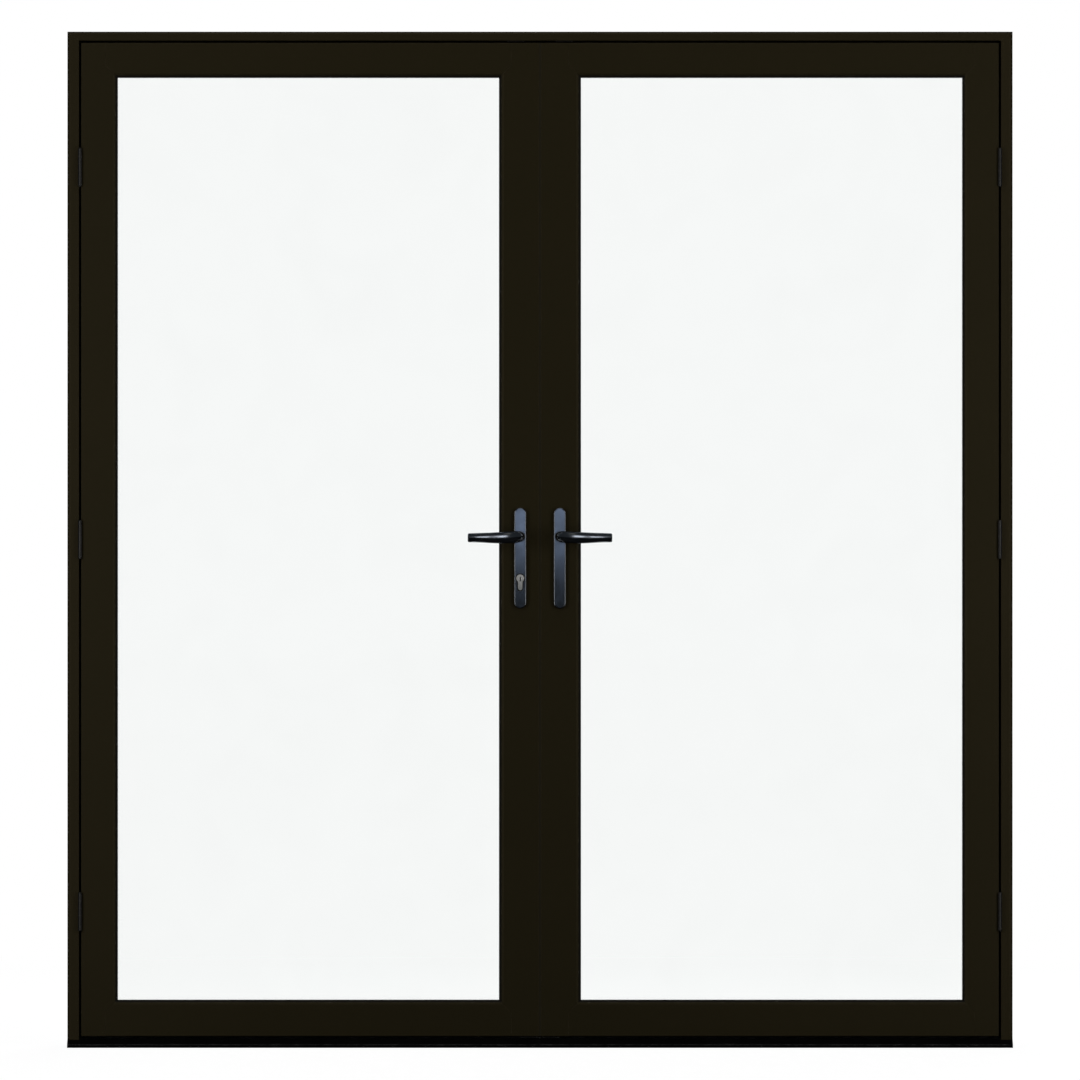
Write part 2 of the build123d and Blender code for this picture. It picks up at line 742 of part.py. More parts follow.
def gear_outline(teeth, first_angle):
    """Involute gear outline about the origin with one tooth at first_angle in degrees."""
    pitch_r = gear_module * teeth / 2
    tip_r = pitch_r + gear_module * tooth_addendum
    root_r = pitch_r - root_depth
    alpha = radians(pressure_angle)
    base_r = pitch_r * cos(alpha)

    def half_angle(radius):
        at = acos(min(1.0, base_r / radius))
        flare = tan(alpha) - alpha - (tan(at) - at)
        return pi / (2 * teeth) - backlash / (2 * pitch_r) + flare

    start_r = max(base_r, root_r) + 0.01
    radii = [start_r, (start_r + tip_r) / 2, tip_r]
    points = []
    for k in range(teeth):
        middle = radians(first_angle) + 2 * pi * k / teeth
        rising = [(r, middle - half_angle(r)) for r in radii]
        falling = [(r, middle + half_angle(r)) for r in reversed(radii)]
        flank = [(root_r, rising[0][1])] + rising + falling + [(root_r, falling[-1][1])]
        points += [(r * cos(a), r * sin(a)) for r, a in flank]
    return outline(*points)


def spindle_gear():
    """A hub with a toothed sector on its closing-edge side, and the square spindle through it."""
    teeth = Pos(spindle_x, spindle_height) * gear_outline(sector_teeth, 180)
    reach = 2 * sector_radius
    angles = [radians(sector_from + k * (sector_to - sector_from) / 4) for k in range(5)]
    pie = outline((spindle_x, spindle_height),
                  *[(spindle_x + reach * cos(a), spindle_height + reach * sin(a)) for a in angles])
    gear = through(teeth & pie, gear_y, gear_y + gear_width)
    case_y = leaf_depth / 2 - case_depth / 2
    gear = gear + rod_y(spindle_x, spindle_height, hub_radius, case_y, case_y + case_depth)
    hole = spindle_size / 2 + lever_clearance
    x, z = spindle_x, spindle_height
    gear = gear - box((x - hole, x + hole), (case_y - 1, case_y + case_depth + 1), (z - hole, z + hole))
    side = spindle_size / 2
    grip = spindle_grip + plate_thickness - 1
    return gear, box((x - side, x + side), (-grip, leaf_depth + grip), (z - side, z + side))


def reversing_pinion():
    """Small pinion between the two racks, so that one goes up as the other goes down."""
    profile = Pos(pinion_x, pinion_z) * gear_outline(pinion_teeth, 180)
    pinion = through(profile, gear_y, gear_y + gear_width)
    return pinion - rod_y(pinion_x, pinion_z, pinion_bore + pin_clearance,
                          gear_y - 1, gear_y + gear_width + 1)


def rack(pitch_x, way, first, last, z_low, z_high):
    """Rack teeth numbered from the spindle's height, pointing way, on a flat spine."""
    slope = tan(radians(pressure_angle))
    foot = tooth_pitch / 4 - backlash / 2 + root_depth * slope
    crest = tooth_pitch / 4 - backlash / 2 - gear_module * tooth_addendum * slope
    root_x = pitch_x - way * root_depth
    tip_x = pitch_x + way * gear_module * tooth_addendum
    back_x = root_x - way * rack_spine
    points = [(back_x, z_low), (root_x, z_low)]
    for k in range(first, last):
        z = spindle_height + (k + 0.5) * tooth_pitch
        points += [(root_x, z - foot), (tip_x, z - crest), (tip_x, z + crest), (root_x, z + foot)]
    points += [(root_x, z_high), (back_x, z_high)]
    return through(outline(*points), gear_y, gear_y + gear_width)


def lower_bolt(keyed):
    """Rack driven by the sector, the rod below it and the bolt that enters the sill."""
    tip = leaf_low + bolt_recess
    bar = rack(lower_pitch_x, 1, -2, 10, tip + bolt_length / 2, spindle_height + 10.5 * tooth_pitch)
    if keyed:
        pass_half = screw_radius + part_gap
        bar = bar - box((lower_rod_x - rack_spine, lower_rod_x + rack_spine),
                        (leaf_depth / 2 - pass_half, leaf_depth / 2 + pass_half),
                        (cylinder_screw_z - pass_half, cylinder_screw_z + rack_travel + pass_half))
    return bar + rod_z(lower_rod_x, gear_mid_y, bolt_radius, tip, tip + bolt_length)


def upper_bolt():
    """Rack driven by the reversing pinion, the rod above it and the bolt that enters the head."""
    tip = leaf_high - bolt_recess
    bar = rack(upper_pitch_x, -1, 2, 8, spindle_height + 2 * tooth_pitch, tip - bolt_length / 2)
    return bar + rod_z(upper_rod_x, gear_mid_y, bolt_radius, tip - bolt_length, tip)


def gear_case(keyed):
    """Folded steel tray with the pinion's stud, and the cover that closes it."""
    w = case_wall
    x = (leaf_in + faceplate_thickness, leaf_in + lock_stile_tube - leaf_wall - part_gap)
    y0 = leaf_depth / 2 - case_depth / 2
    y1 = y0 + case_depth
    low = cylinder_z - cylinder_height + cylinder_head - 4 if keyed else spindle_height - case_below
    z = (low, spindle_height + case_above)
    tray = box(x, (y0, y1 - w), z) - box((x[0] + w, x[1] - w), (y0 + w, y1), (z[0] + w, z[1] - w))
    plate_z = (spindle_height - faceplate_below, spindle_height + faceplate_above)
    plate_y = leaf_depth / 2 - faceplate_width / 2
    tray = tray + box((x[0], x[0] + w), (plate_y + 1, y1 - w), plate_z)
    tray = tray + rod_y(pinion_x, pinion_z, pinion_bore, y0, gear_y + gear_width + 1.5)
    tray = tray + rod_y(pinion_x, pinion_z, 2 * pinion_bore, y0, gear_y)
    cover = box(x, (y1 - w, y1), z)
    cuts = [rod_y(spindle_x, spindle_height, hub_radius + pin_clearance, y0 - 1, y1 + 1)]
    g = part_gap
    rod_y_span = (gear_y - g, gear_y + gear_width + g)
    half_rod = rack_spine / 2 + g
    cuts.append(box((lower_rod_x - half_rod, lower_rod_x + half_rod), rod_y_span,
                    (z[0] - 1, z[0] + w + 1)))
    cuts.append(box((upper_rod_x - half_rod, upper_rod_x + half_rod), rod_y_span,
                    (z[1] - w - 1, z[1] + 1)))
    for height in plate_screw_heights:
        cuts.append(rod_y(spindle_x, height, screw_radius + part_gap, y0 - 1, y1 + 1))
    cuts += faceplate_holes()
    cuts.append(dead_bolt_hole(x[0] - 1, x[0] + w + 1))
    if keyed:
        cuts.append(through(euro_profile(part_gap), y0 - 1, y1 + 1))
        cuts.append(cylinder_screw(screw_hole))
    for cut in cuts:
        tray = tray - cut
        cover = cover - cut
    return tray, cover


def faceplate_outline(clearance):
    """Round-ended outline of the plate on the closing edge, drawn in Y and Z."""
    length = faceplate_above + faceplate_below + 2 * clearance
    slot = Rot(0, 0, 90) * SlotOverall(length, faceplate_width + 2 * clearance)
    middle = spindle_height + (faceplate_above - faceplate_below) / 2
    return Plane((leaf_in, leaf_depth / 2, middle), x_dir=(0, 1, 0), z_dir=(1, 0, 0)) * slot


def faceplate_screw_points():
    """Screw heads at the ends of the faceplate."""
    return [Vector(leaf_in, leaf_depth / 2, spindle_height + faceplate_above - faceplate_screw_end),
            Vector(leaf_in, leaf_depth / 2, spindle_height - faceplate_below + faceplate_screw_end)]


def faceplate_holes():
    """Holes for the faceplate's screws."""
    return [screw_hole(point, (1, 0, 0)) for point in faceplate_screw_points()]


def cylinder_screw(make):
    """The long screw, or its hole, that holds the key cylinder from the closing edge."""
    return make(Vector(leaf_in, leaf_depth / 2, cylinder_screw_z), (1, 0, 0), backset + 2)


def dead_bolt_hole(x0, x1):
    """Rectangular way for the dead bolt through a plate or wall on the closing edge."""
    g = part_gap
    return box((x0, x1), (dead_bolt_y - g, dead_bolt_y + dead_bolt_thickness + g),
               (dead_bolt_low - g, dead_bolt_low + dead_bolt_height + g))


def faceplate(keyed):
    """Stainless plate let into the closing edge, pierced for the dead bolt."""
    plate = extrude(faceplate_outline(-0.15), faceplate_thickness, dir=(1, 0, 0))
    for hole in faceplate_holes():
        plate = plate - hole
    if keyed:
        plate = plate - cylinder_screw(screw_hole)
    return plate - dead_bolt_hole(leaf_in - 1, leaf_in + faceplate_thickness + 1)


def lock_cylinder():
    """Keyhole-shaped cylinder body, cut away in the middle for the cam."""
    reach = plate_thickness + cylinder_proud
    body = through(euro_profile(), -reach, leaf_depth + reach)
    body = body - rod_y(spindle_x, cylinder_z, plug_radius + pin_clearance,
                        -reach - 1, leaf_depth + reach + 1)
    body = body - cylinder_screw(screw_hole)
    middle = leaf_depth / 2
    return body - rod_y(spindle_x, cylinder_z, cam_radius + part_gap,
                        middle - cam_width / 2, middle + cam_width / 2)


def cylinder_plug():
    """Key plug outside, cam in the middle and thumb-turn inside, which turn together."""
    reach = plate_thickness + cylinder_proud
    x, z = spindle_x, cylinder_z
    plug = rod_y(x, z, plug_radius, -reach, leaf_depth + reach)
    middle, half = leaf_depth / 2, cam_width / 2 - part_gap
    cam = rod_y(x, z, plug_radius + 1.5, middle - half, middle + half)
    lobe = rect(x - cam_lobe / 2, x + cam_lobe / 2, z - cam_radius, z)
    lobe = lobe & (Pos(x, z) * Circle(cam_radius))
    plug = plug + cam + through(lobe, middle - half, middle + half)
    start = leaf_depth + reach
    turn = Pos(x, z) * Rot(0, 0, 90) * SlotOverall(turn_height, turn_thickness)
    knob = through(turn, start + turn_neck, start + turn_reach)
    knob = fillet(knob.faces().sort_by(Axis.Y)[-1].edges(), turn_round)
    plug = plug + rod_y(x, z, turn_neck_radius, start - 1, start + turn_neck + 1) + knob
    slot_z = z - keyway_drop
    keyway = box((x - keyway_width / 2, x + keyway_width / 2), (-reach - 1, -reach + keyway_depth),
                 (slot_z - keyway_height / 2, slot_z + keyway_height / 2))
    return plug - keyway


def dead_bolt():
    """Rectangular bolt that the key throws into the other leaf."""
    bolt = box((leaf_in + dead_bolt_recess, dead_bolt_tail),
               (dead_bolt_y, dead_bolt_y + dead_bolt_thickness),
               (dead_bolt_low, dead_bolt_low + dead_bolt_height))
    nose = bolt.faces().sort_by(Axis.X)[0].edges()
    return chamfer(nose, 0.8)


def drilled_lock_stile(stile, keyed):
    """Openings of the closing stile for its faceplate, spindle, screws and cylinder."""
    stile = stile - extrude(faceplate_outline(0), leaf_wall, dir=(1, 0, 0))
    stile = stile - rod_y(spindle_x, spindle_height, hub_radius + 1.5, -1, leaf_depth + 1)
    for z in plate_screw_heights:
        stile = stile - rod_y(spindle_x, z, screw_radius + part_gap, -1, leaf_depth + 1)
    if keyed:
        stile = stile - through(euro_profile(1.0), -1, leaf_depth + 1)
    place = meeting_seal_place
    stile = stile + run(groove_section(place), RIGHT, leaf_in, leaf_low, leaf_high)
    return stile - box((leaf_in - 1, leaf_in + leaf_wall + 0.2),
                       (place - seal_stem / 2, place + seal_stem / 2), (leaf_low - 1, leaf_high + 1))


def leaf_seals():
    """Bottom sweep, and the strip that nearly reaches the other leaf's on the meeting edge."""
    between = (leaf_in + lock_stile_tube, leaf_out - hinge_stile_tube)
    reach = leaf_in - meeting_seal_gap / 2
    sweep = leaf_seal(sweep_place, sweep_reach, sweep_place - sweep_width / 2,
                      sweep_place + sweep_width / 2)
    strip = leaf_seal(meeting_seal_place, reach, meeting_seal_front, meeting_seal_back)
    return run(sweep, UP, leaf_low, *between), run(strip, RIGHT, leaf_in, leaf_low, leaf_high)


def make_frame():
    """All fixed pieces of the frame by name."""
    jamb, head, sill = frame_members()
    screws, keeps, halves, pins = [], [], [], []
    plate_x = (half_width - jamb_face - hinge_plate_thickness, half_width - jamb_face)
    frame_knuckles = range(0, knuckle_count, 2)
    for z in hinge_heights():
        half = hinge_half(*plate_x, frame_knuckles, z)
        for point in hinge_screw_points(plate_x[0], z):
            half = half - screw_hole(point, (1, 0, 0))
            jamb = jamb - screw_hole(point, (1, 0, 0))
            screw = countersunk_screw(point, (1, 0, 0))
            screws += [screw, flip(screw)]
        pin = hinge_pin(z)
        halves += [half, flip(half)]
        pins += [pin, flip(pin)]
    for x, face_z, side in ((upper_rod_x, frame_height - head_face, -1),
                            (lower_rod_x, sill_height, 1)):
        keep = bolt_keep(x, face_z, side)
        way = Vector(0, 0, -side)
        passage = rod_z(x, gear_mid_y, bolt_radius + keep_clearance,
                        face_z - 2 * frame_wall, face_z + 2 * frame_wall)
        for point in keep_screw_points(x, face_z, side):
            hole = screw_hole(point, way, keep_screw_length)
            keep = keep - hole
            screw = countersunk_screw(point, way, keep_screw_length)
            screws += [screw, flip(screw)]
            passage = passage + hole
        keeps += [keep, flip(keep)]
        if side < 0:
            head = head - passage - flip(passage)
        else:
            sill = sill - passage - flip(passage)
    keys = corner_keys()
    return {
        "jamb_left": flip(jamb),
        "jamb_right": jamb,
        "head": head,
        "sill": sill,
        "frame_corner_keys": group(*keys, *[flip(key) for key in keys]),
        "frame_seals": group(*frame_seals()),
        "frame_hinge_halves": group(*halves),
        "hinge_pins": group(*pins),
        "frame_screws": group(*screws),
        "bolt_keeps": group(*keeps),
    }


def make_leaf(keyed):
    """All pieces of one leaf, on the right, by name."""
    hinge_stile, lock_stile, top_rail, bottom_rail = leaf_members()
    lock_stile = drilled_lock_stile(lock_stile, keyed)
    halves, screws = [], plate_screws()
    plate_x = (leaf_out, leaf_out + hinge_plate_thickness)
    leaf_knuckles = range(1, knuckle_count, 2)
    for z in hinge_heights():
        half = hinge_half(*plate_x, leaf_knuckles, z)
        for point in hinge_screw_points(plate_x[1], z):
            half = half - screw_hole(point, (-1, 0, 0))
            hinge_stile = hinge_stile - screw_hole(point, (-1, 0, 0))
            screws.append(countersunk_screw(point, (-1, 0, 0)))
        halves.append(half)
    screws += [countersunk_screw(point, (1, 0, 0)) for point in faceplate_screw_points()]
    if keyed:
        screws.append(cylinder_screw(countersunk_screw))
    cavity = (outer_glass_y + glass_thickness, inner_glass_y)
    seat = glass_cover - sealant_width
    pieces = {
        "hinge_stile": hinge_stile,
        "lock_stile": lock_stile,
        "top_rail": top_rail,
        "bottom_rail": bottom_rail,
        "corner_blocks": group(*corner_blocks()),
        "glass_panes": group(*glass_panes()),
        "glass_spacer": loop_between(seat, seat - spacer_width, *cavity),
        "glazing_rubbers": group(*glazing_rubbers()),
        "glazing_beads": group(*glazing_beads()),
        "hinge_halves": group(*halves),
        "leaf_screws": group(*screws),
        "leaf_seals": group(*leaf_seals()),
        "stile_caps": group(*stile_caps()),
        "gear_case": group(*gear_case(keyed)),
        "faceplate": faceplate(keyed),
        "outer_plate": outer_plate(keyed),
        "inner_plate": inner_plate(keyed),
        "outer_lever": outer_lever(),
        "inner_lever": inner_lever(),
        "spindle_gear": group(*spindle_gear()),
        "reversing_pinion": reversing_pinion(),
        "lower_bolt": lower_bolt(keyed),
        "upper_bolt": upper_bolt(),
    }
    if keyed:
        pieces["lock_cylinder"] = lock_cylinder()
        pieces["cylinder_plug"] = cylinder_plug()
        pieces["dead_bolt"] = dead_bolt()
    return pieces


nodes = make_frame()
for name, piece in make_leaf(False).items():
    nodes["inactive_" + name] = piece
for name, piece in make_leaf(True).items():
    nodes["active_" + name] = flip(piece)

os.makedirs("parts", exist_ok=True)
for name, piece in nodes.items():
    export_step(piece, f"parts/{name}.step")
    print(name, len(piece.solids()))
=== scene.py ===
# %% [markdown]
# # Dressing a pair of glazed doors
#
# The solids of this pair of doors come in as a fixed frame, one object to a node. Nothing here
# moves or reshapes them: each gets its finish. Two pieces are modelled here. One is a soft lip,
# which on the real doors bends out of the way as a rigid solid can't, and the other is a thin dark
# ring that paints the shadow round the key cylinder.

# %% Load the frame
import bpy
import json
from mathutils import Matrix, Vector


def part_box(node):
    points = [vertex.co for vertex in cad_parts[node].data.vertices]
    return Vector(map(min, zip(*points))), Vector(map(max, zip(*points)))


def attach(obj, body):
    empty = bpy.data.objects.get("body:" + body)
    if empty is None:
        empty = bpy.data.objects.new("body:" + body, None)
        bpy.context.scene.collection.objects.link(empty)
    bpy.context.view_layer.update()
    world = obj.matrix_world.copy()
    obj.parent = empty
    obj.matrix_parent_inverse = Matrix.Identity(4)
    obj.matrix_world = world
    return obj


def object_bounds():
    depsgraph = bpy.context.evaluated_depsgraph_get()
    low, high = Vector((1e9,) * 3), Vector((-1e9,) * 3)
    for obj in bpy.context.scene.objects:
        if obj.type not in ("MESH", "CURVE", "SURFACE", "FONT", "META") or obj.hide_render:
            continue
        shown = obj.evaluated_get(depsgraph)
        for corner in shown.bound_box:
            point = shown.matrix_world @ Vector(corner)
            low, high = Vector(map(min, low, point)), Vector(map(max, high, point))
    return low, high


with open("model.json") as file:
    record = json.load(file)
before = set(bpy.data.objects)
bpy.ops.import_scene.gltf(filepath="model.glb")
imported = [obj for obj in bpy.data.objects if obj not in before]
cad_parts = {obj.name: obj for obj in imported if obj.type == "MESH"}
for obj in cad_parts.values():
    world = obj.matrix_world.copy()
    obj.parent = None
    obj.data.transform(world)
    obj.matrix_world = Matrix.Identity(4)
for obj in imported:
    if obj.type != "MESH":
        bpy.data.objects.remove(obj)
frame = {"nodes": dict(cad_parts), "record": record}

# %% [markdown]
# The box of the bare solids is kept before anything is added, because the dressed doors have to
# stay inside it. The view transform is Standard: a product picture on white wants its white
# to stay white and its dark paint to keep its measured value.

# %% Measure the bare solids
import json

import bpy
from mathutils import Vector

cad_low, cad_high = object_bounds()
bpy.context.scene.view_settings.view_transform = "Standard"
size = cad_high - cad_low
print(f"bare solids: {size.x:.3f} wide, {size.y:.3f} deep, {size.z:.3f} high")

# %% [markdown]
# ## Camera
#
# The doors are seen dead straight from outside, with every upright parallel, as in a catalogue.
# A long lens far away does this. An orthographic camera would too, but it has no perspective at
# all, and a long lens keeps the trace of it that a real picture has. The view is set by its width
# at the doors and by the height that it looks at, which give the doors their place in the frame.

# %% Place the camera
quarter_turn = 1.5707963
lens_mm = 300.0
sensor_mm = 36.0
view_width = 2.1868
view_height = 1.0276
distance = view_width * lens_mm / sensor_mm
bpy.ops.object.camera_add(location=(0.0, -distance, view_height),
                          rotation=(quarter_turn, 0.0, 0.0))
camera = bpy.context.object
camera.name = "catalogue_camera"
camera.data.lens = lens_mm
camera.data.sensor_width = sensor_mm
camera.data.clip_end = 200.0
bpy.context.scene.camera = camera
print(f"camera {distance:.2f} m away, {view_width:.3f} m across at the doors")

# %% [markdown]
# ## Helpers for shader trees
#
# Materials are wired in code, so a few short helpers keep the wiring readable. The first adds a
# node with its sockets filled. The next two open a node group with named inputs and outputs,
# and wire its results to its end.


# %% Helpers for nodes and groups
def add(tree, kind, sockets=None, **settings):
    """A shader node whose sockets take a value or another node's output."""
    node = tree.nodes.new("ShaderNode" + kind)
    for key, value in settings.items():
        setattr(node, key, value)
    for key, value in (sockets or {}).items():
        if isinstance(value, bpy.types.NodeSocket):
            tree.links.new(value, node.inputs[key])
        else:
            node.inputs[key].default_value = value
    return node


def effect(name, inputs, outputs):
    """An empty effect group, its inputs by name, and the node that its results go to."""
    kinds = {float: "NodeSocketFloat", tuple: "NodeSocketColor", Vector: "NodeSocketVector"}
    tree = bpy.data.node_groups.new(name, "ShaderNodeTree")
    for label, value in inputs.items():
        socket = tree.interface.new_socket(label, in_out="INPUT", socket_type=kinds[type(value)])
        socket.default_value = value
    for label, kind in outputs.items():
        tree.interface.new_socket(label, in_out="OUTPUT", socket_type=kinds[kind])
    return tree, tree.nodes.new("NodeGroupInput").outputs, tree.nodes.new("NodeGroupOutput")


def deliver(tree, results_node, **results):
    """Wires results to the end of a group."""
    for label, socket in results.items():
        tree.links.new(socket, results_node.inputs[label])


print("helpers for trees: add, effect, deliver")

# %% [markdown]
# Nearly every effect needs the same few nodes, so each of them gets a short name. Noise is read
# on Object coordinates, which travel with a piece, so a pattern stays put when a leaf swings. Its
# scale is the number of swells to a metre, and its value seldom leaves the range from 0.3 to
# 0.7, so that is the range that mostly gets spread over an effect's full strength.
# Colours are typed in linear light.

# %% Helpers for common nodes
usual, full = (0.3, 0.7), (0.0, 1.0)


def coordinates(tree):
    """The point on the piece itself, in metres."""
    return add(tree, "TexCoord").outputs["Object"]


def noise(tree, place, scale, detail, **others):
    """Cloudy noise, as one value."""
    values = {"Vector": place, "Scale": scale, "Detail": detail} | others
    return add(tree, "TexNoise", values).outputs[0]


def spread(tree, socket, old, new):
    """A value taken from one range to another, and held there."""
    values = {"Value": socket, "From Min": old[0], "From Max": old[1],
              "To Min": new[0], "To Max": new[1]}
    return add(tree, "MapRange", values).outputs["Result"]


def blend(tree, factor, first, second):
    """Two colours mixed by a factor."""
    return add(tree, "Mix", {0: factor, 6: first, 7: second}, data_type="RGBA").outputs[2]


def calculate(tree, operation, first, second):
    """Two values put through one sum."""
    return add(tree, "Math", {0: first, 1: second}, operation=operation).outputs[0]


def colour(red, green, blue):
    """A colour as shaders take it."""
    return (red, green, blue, 1.0)


def grey(value):
    """A colour with no tint."""
    return colour(value, value, value)


print("noise is spread from", usual, "to", full)

# %% [markdown]
# ## Effect: the skin of powder coat
#
# Powder coat is baked on as grains that flow together, and leaves a fine orange peel about a
# millimetre across. Big faces drift a little in tone where the coat is thicker, and the odd fleck
# of metal in it shows as a lighter speck: partly the fleck's own colour, partly its glint painted
# in. An image could give all this, but noise has no seams and no end.

# %% Build the powder coat group
powder_coat, given, made = effect(
    "powder_coat",
    {"Colour": grey(0.02), "Drift": grey(0.03), "Roughness": 0.45, "Grain": 700.0},
    {"Colour": tuple, "Roughness": float, "Height": float})
place = coordinates(powder_coat)
cloud = noise(powder_coat, place, scale=3.0, detail=3.0)
peel = noise(powder_coat, place, scale=given["Grain"], detail=2.0)
fleck = noise(powder_coat, place, scale=2600.0, detail=1.0)
thickness = spread(powder_coat, cloud, usual, full)
tone = blend(powder_coat, thickness, given["Colour"], given["Drift"])
# Painted glint: lighter specks stand for the metal flecks, partly their colour and partly the
# light they catch.
fleck_glint = spread(powder_coat, fleck, (0.62, 0.75), (0.0, 0.35))
tone = blend(powder_coat, fleck_glint, tone, colour(0.09, 0.075, 0.05))
uneven = spread(powder_coat, peel, usual, (-0.05, 0.05))
deliver(powder_coat, made, Colour=tone, Height=peel,
        Roughness=calculate(powder_coat, "ADD", given["Roughness"], uneven))
print("powder coat:", len(powder_coat.nodes), "nodes")

# %% [markdown]
# ## Effect: rubbed edges and painted edge highlights
#
# Paint is thinnest on an arris and gets rubbed there first. The lighter colour on an edge is
# partly that wear and partly a painted highlight, a thin line of light painted along the arris.
# The Bevel node looks for nearby edges: where its rounded normal leaves the true one, an edge is
# close. Noise breaks the mask up, so that the lighter edge isn't an even outline. The rounded
# normal is handed on as well, because no coated or cast edge is knife sharp, and a rounded one
# catches a thin line of light.

# %% Build the group of rubbed edges and painted edge highlights
worn_and_highlit_edges, given, made = effect(
    "worn_and_highlit_edges",
    {"Colour": grey(0.02), "Bare And Highlight": colour(0.1, 0.09, 0.07), "Reach": 0.0012, "Amount": 0.5,
     "Roughness": 0.45},
    {"Colour": tuple, "Roughness": float, "Normal": Vector})
true_normal = add(worn_and_highlit_edges, "NewGeometry").outputs["Normal"]
round_normal = add(worn_and_highlit_edges, "Bevel", {"Radius": given["Reach"]}, samples=4).outputs["Normal"]
facing = add(worn_and_highlit_edges, "VectorMath", {0: true_normal, 1: round_normal},
             operation="DOT_PRODUCT").outputs["Value"]
near_edge = spread(worn_and_highlit_edges, facing, (0.995, 0.90), full)
patches = noise(worn_and_highlit_edges, coordinates(worn_and_highlit_edges), scale=60.0, detail=4.0)
patchy = spread(worn_and_highlit_edges, patches, (0.40, 0.65), (0.25, 1.0))
broken = calculate(worn_and_highlit_edges, "MULTIPLY", near_edge, patchy)
mask = calculate(worn_and_highlit_edges, "MULTIPLY", broken, given["Amount"])
polish = calculate(worn_and_highlit_edges, "MULTIPLY", mask, 0.12)
deliver(worn_and_highlit_edges, made, Normal=round_normal,
        Roughness=calculate(worn_and_highlit_edges, "SUBTRACT", given["Roughness"], polish),
        Colour=blend(worn_and_highlit_edges, mask, given["Colour"], given["Bare And Highlight"]))
print("rubbed edges:", len(worn_and_highlit_edges.nodes), "nodes")

# %% [markdown]
# ## Effect: drawn lines
#
# Extruded, brushed and rolled metal all carry fine lines along the way they were drawn. Noise
# stretched along one axis gives them. Which axis it is differs, so each axis has an input: 1
# leaves the noise as it is, and a small number draws it out into lines along that axis.

# %% Build the drawn line group
drawn_lines, given, made = effect(
    "drawn_lines",
    {"Colour": grey(0.6), "Shade": grey(0.4), "Roughness": 0.3,
     "Scale X": 1.0, "Scale Y": 1.0, "Scale Z": 1.0, "Fineness": 900.0},
    {"Colour": tuple, "Roughness": float, "Height": float})
place = coordinates(drawn_lines)
stretch = add(drawn_lines, "CombineXYZ", {axis: given["Scale " + axis] for axis in "XYZ"})
along = add(drawn_lines, "VectorMath", {0: place, 1: stretch.outputs[0]}, operation="MULTIPLY")
lines = noise(drawn_lines, along.outputs[0], scale=given["Fineness"], detail=3.0)
bloom = noise(drawn_lines, place, scale=35.0, detail=3.0)
strength = spread(drawn_lines, bloom, usual, (0.7, 1.2))
mixed = calculate(drawn_lines, "MULTIPLY", lines, strength)
depth = spread(drawn_lines, mixed, usual, full)
uneven = spread(drawn_lines, mixed, usual, (-0.06, 0.08))
deliver(drawn_lines, made, Height=lines,
        Colour=blend(drawn_lines, depth, given["Colour"], given["Shade"]),
        Roughness=calculate(drawn_lines, "ADD", given["Roughness"], uneven))
print("drawn lines:", len(drawn_lines.nodes), "nodes")

# %% [markdown]
# ## Effect: settled dust
#
# Dust lies where a face looks up, and hardly anywhere else. The mask is the upward part of the
# normal, broken up by noise. Dust shifts the colour towards its own and takes the gloss away.

# %% Build the dust group
settled_dust, given, made = effect(
    "settled_dust",
    {"Colour": grey(0.02), "Dust": colour(0.18, 0.165, 0.14), "Roughness": 0.45, "Amount": 0.3},
    {"Colour": tuple, "Roughness": float})
normal = add(settled_dust, "NewGeometry").outputs["Normal"]
upward = add(settled_dust, "SeparateXYZ", {0: normal}).outputs["Z"]
flat = spread(settled_dust, upward, (0.25, 1.0), full)
patches = noise(settled_dust, coordinates(settled_dust), scale=24.0, detail=6.0)
thick = spread(settled_dust, patches, (0.35, 0.7), (0.2, 1.0))
lying = calculate(settled_dust, "MULTIPLY", flat, thick)
mask = calculate(settled_dust, "MULTIPLY", lying, given["Amount"])
dulled = calculate(settled_dust, "MULTIPLY", mask, 0.4)
deliver(settled_dust, made, Colour=blend(settled_dust, mask, given["Colour"], given["Dust"]),
        Roughness=calculate(settled_dust, "ADD", given["Roughness"], dulled))
print("settled dust:", len(settled_dust.nodes), "nodes")

# %% [markdown]
# ## Effect: soft grain
#
# Rubber, moulded nylon and lacquer carry no lines at all, only a fine even grain from the mould,
# the die or the spray, and a bloom that comes and goes.

# %% Build the soft grain group
soft_grain, given, made = effect(
    "soft_grain",
    {"Colour": grey(0.012), "Bloom": grey(0.03), "Roughness": 0.7, "Grain": 1500.0},
    {"Colour": tuple, "Roughness": float, "Height": float})
place = coordinates(soft_grain)
grain = noise(soft_grain, place, scale=given["Grain"], detail=2.0)
bloom = noise(soft_grain, place, scale=40.0, detail=5.0)
bloomed = spread(soft_grain, bloom, (0.45, 0.75), (0.0, 0.8))
uneven = spread(soft_grain, bloom, usual, (-0.06, 0.06))
deliver(soft_grain, made, Height=grain,
        Colour=blend(soft_grain, bloomed, given["Colour"], given["Bloom"]),
        Roughness=calculate(soft_grain, "ADD", given["Roughness"], uneven))
print("soft grain:", len(soft_grain.nodes), "nodes")

# %% [markdown]
# ## Effect: painted shade in recesses
#
# Painted shade: the keyway, the fine gap round a cylinder and other recesses are darkened where
# shade falls in them. Ambient occlusion finds such places: it measures how much of a point's view
# its neighbours block, within a short distance, so open faces stay clean.

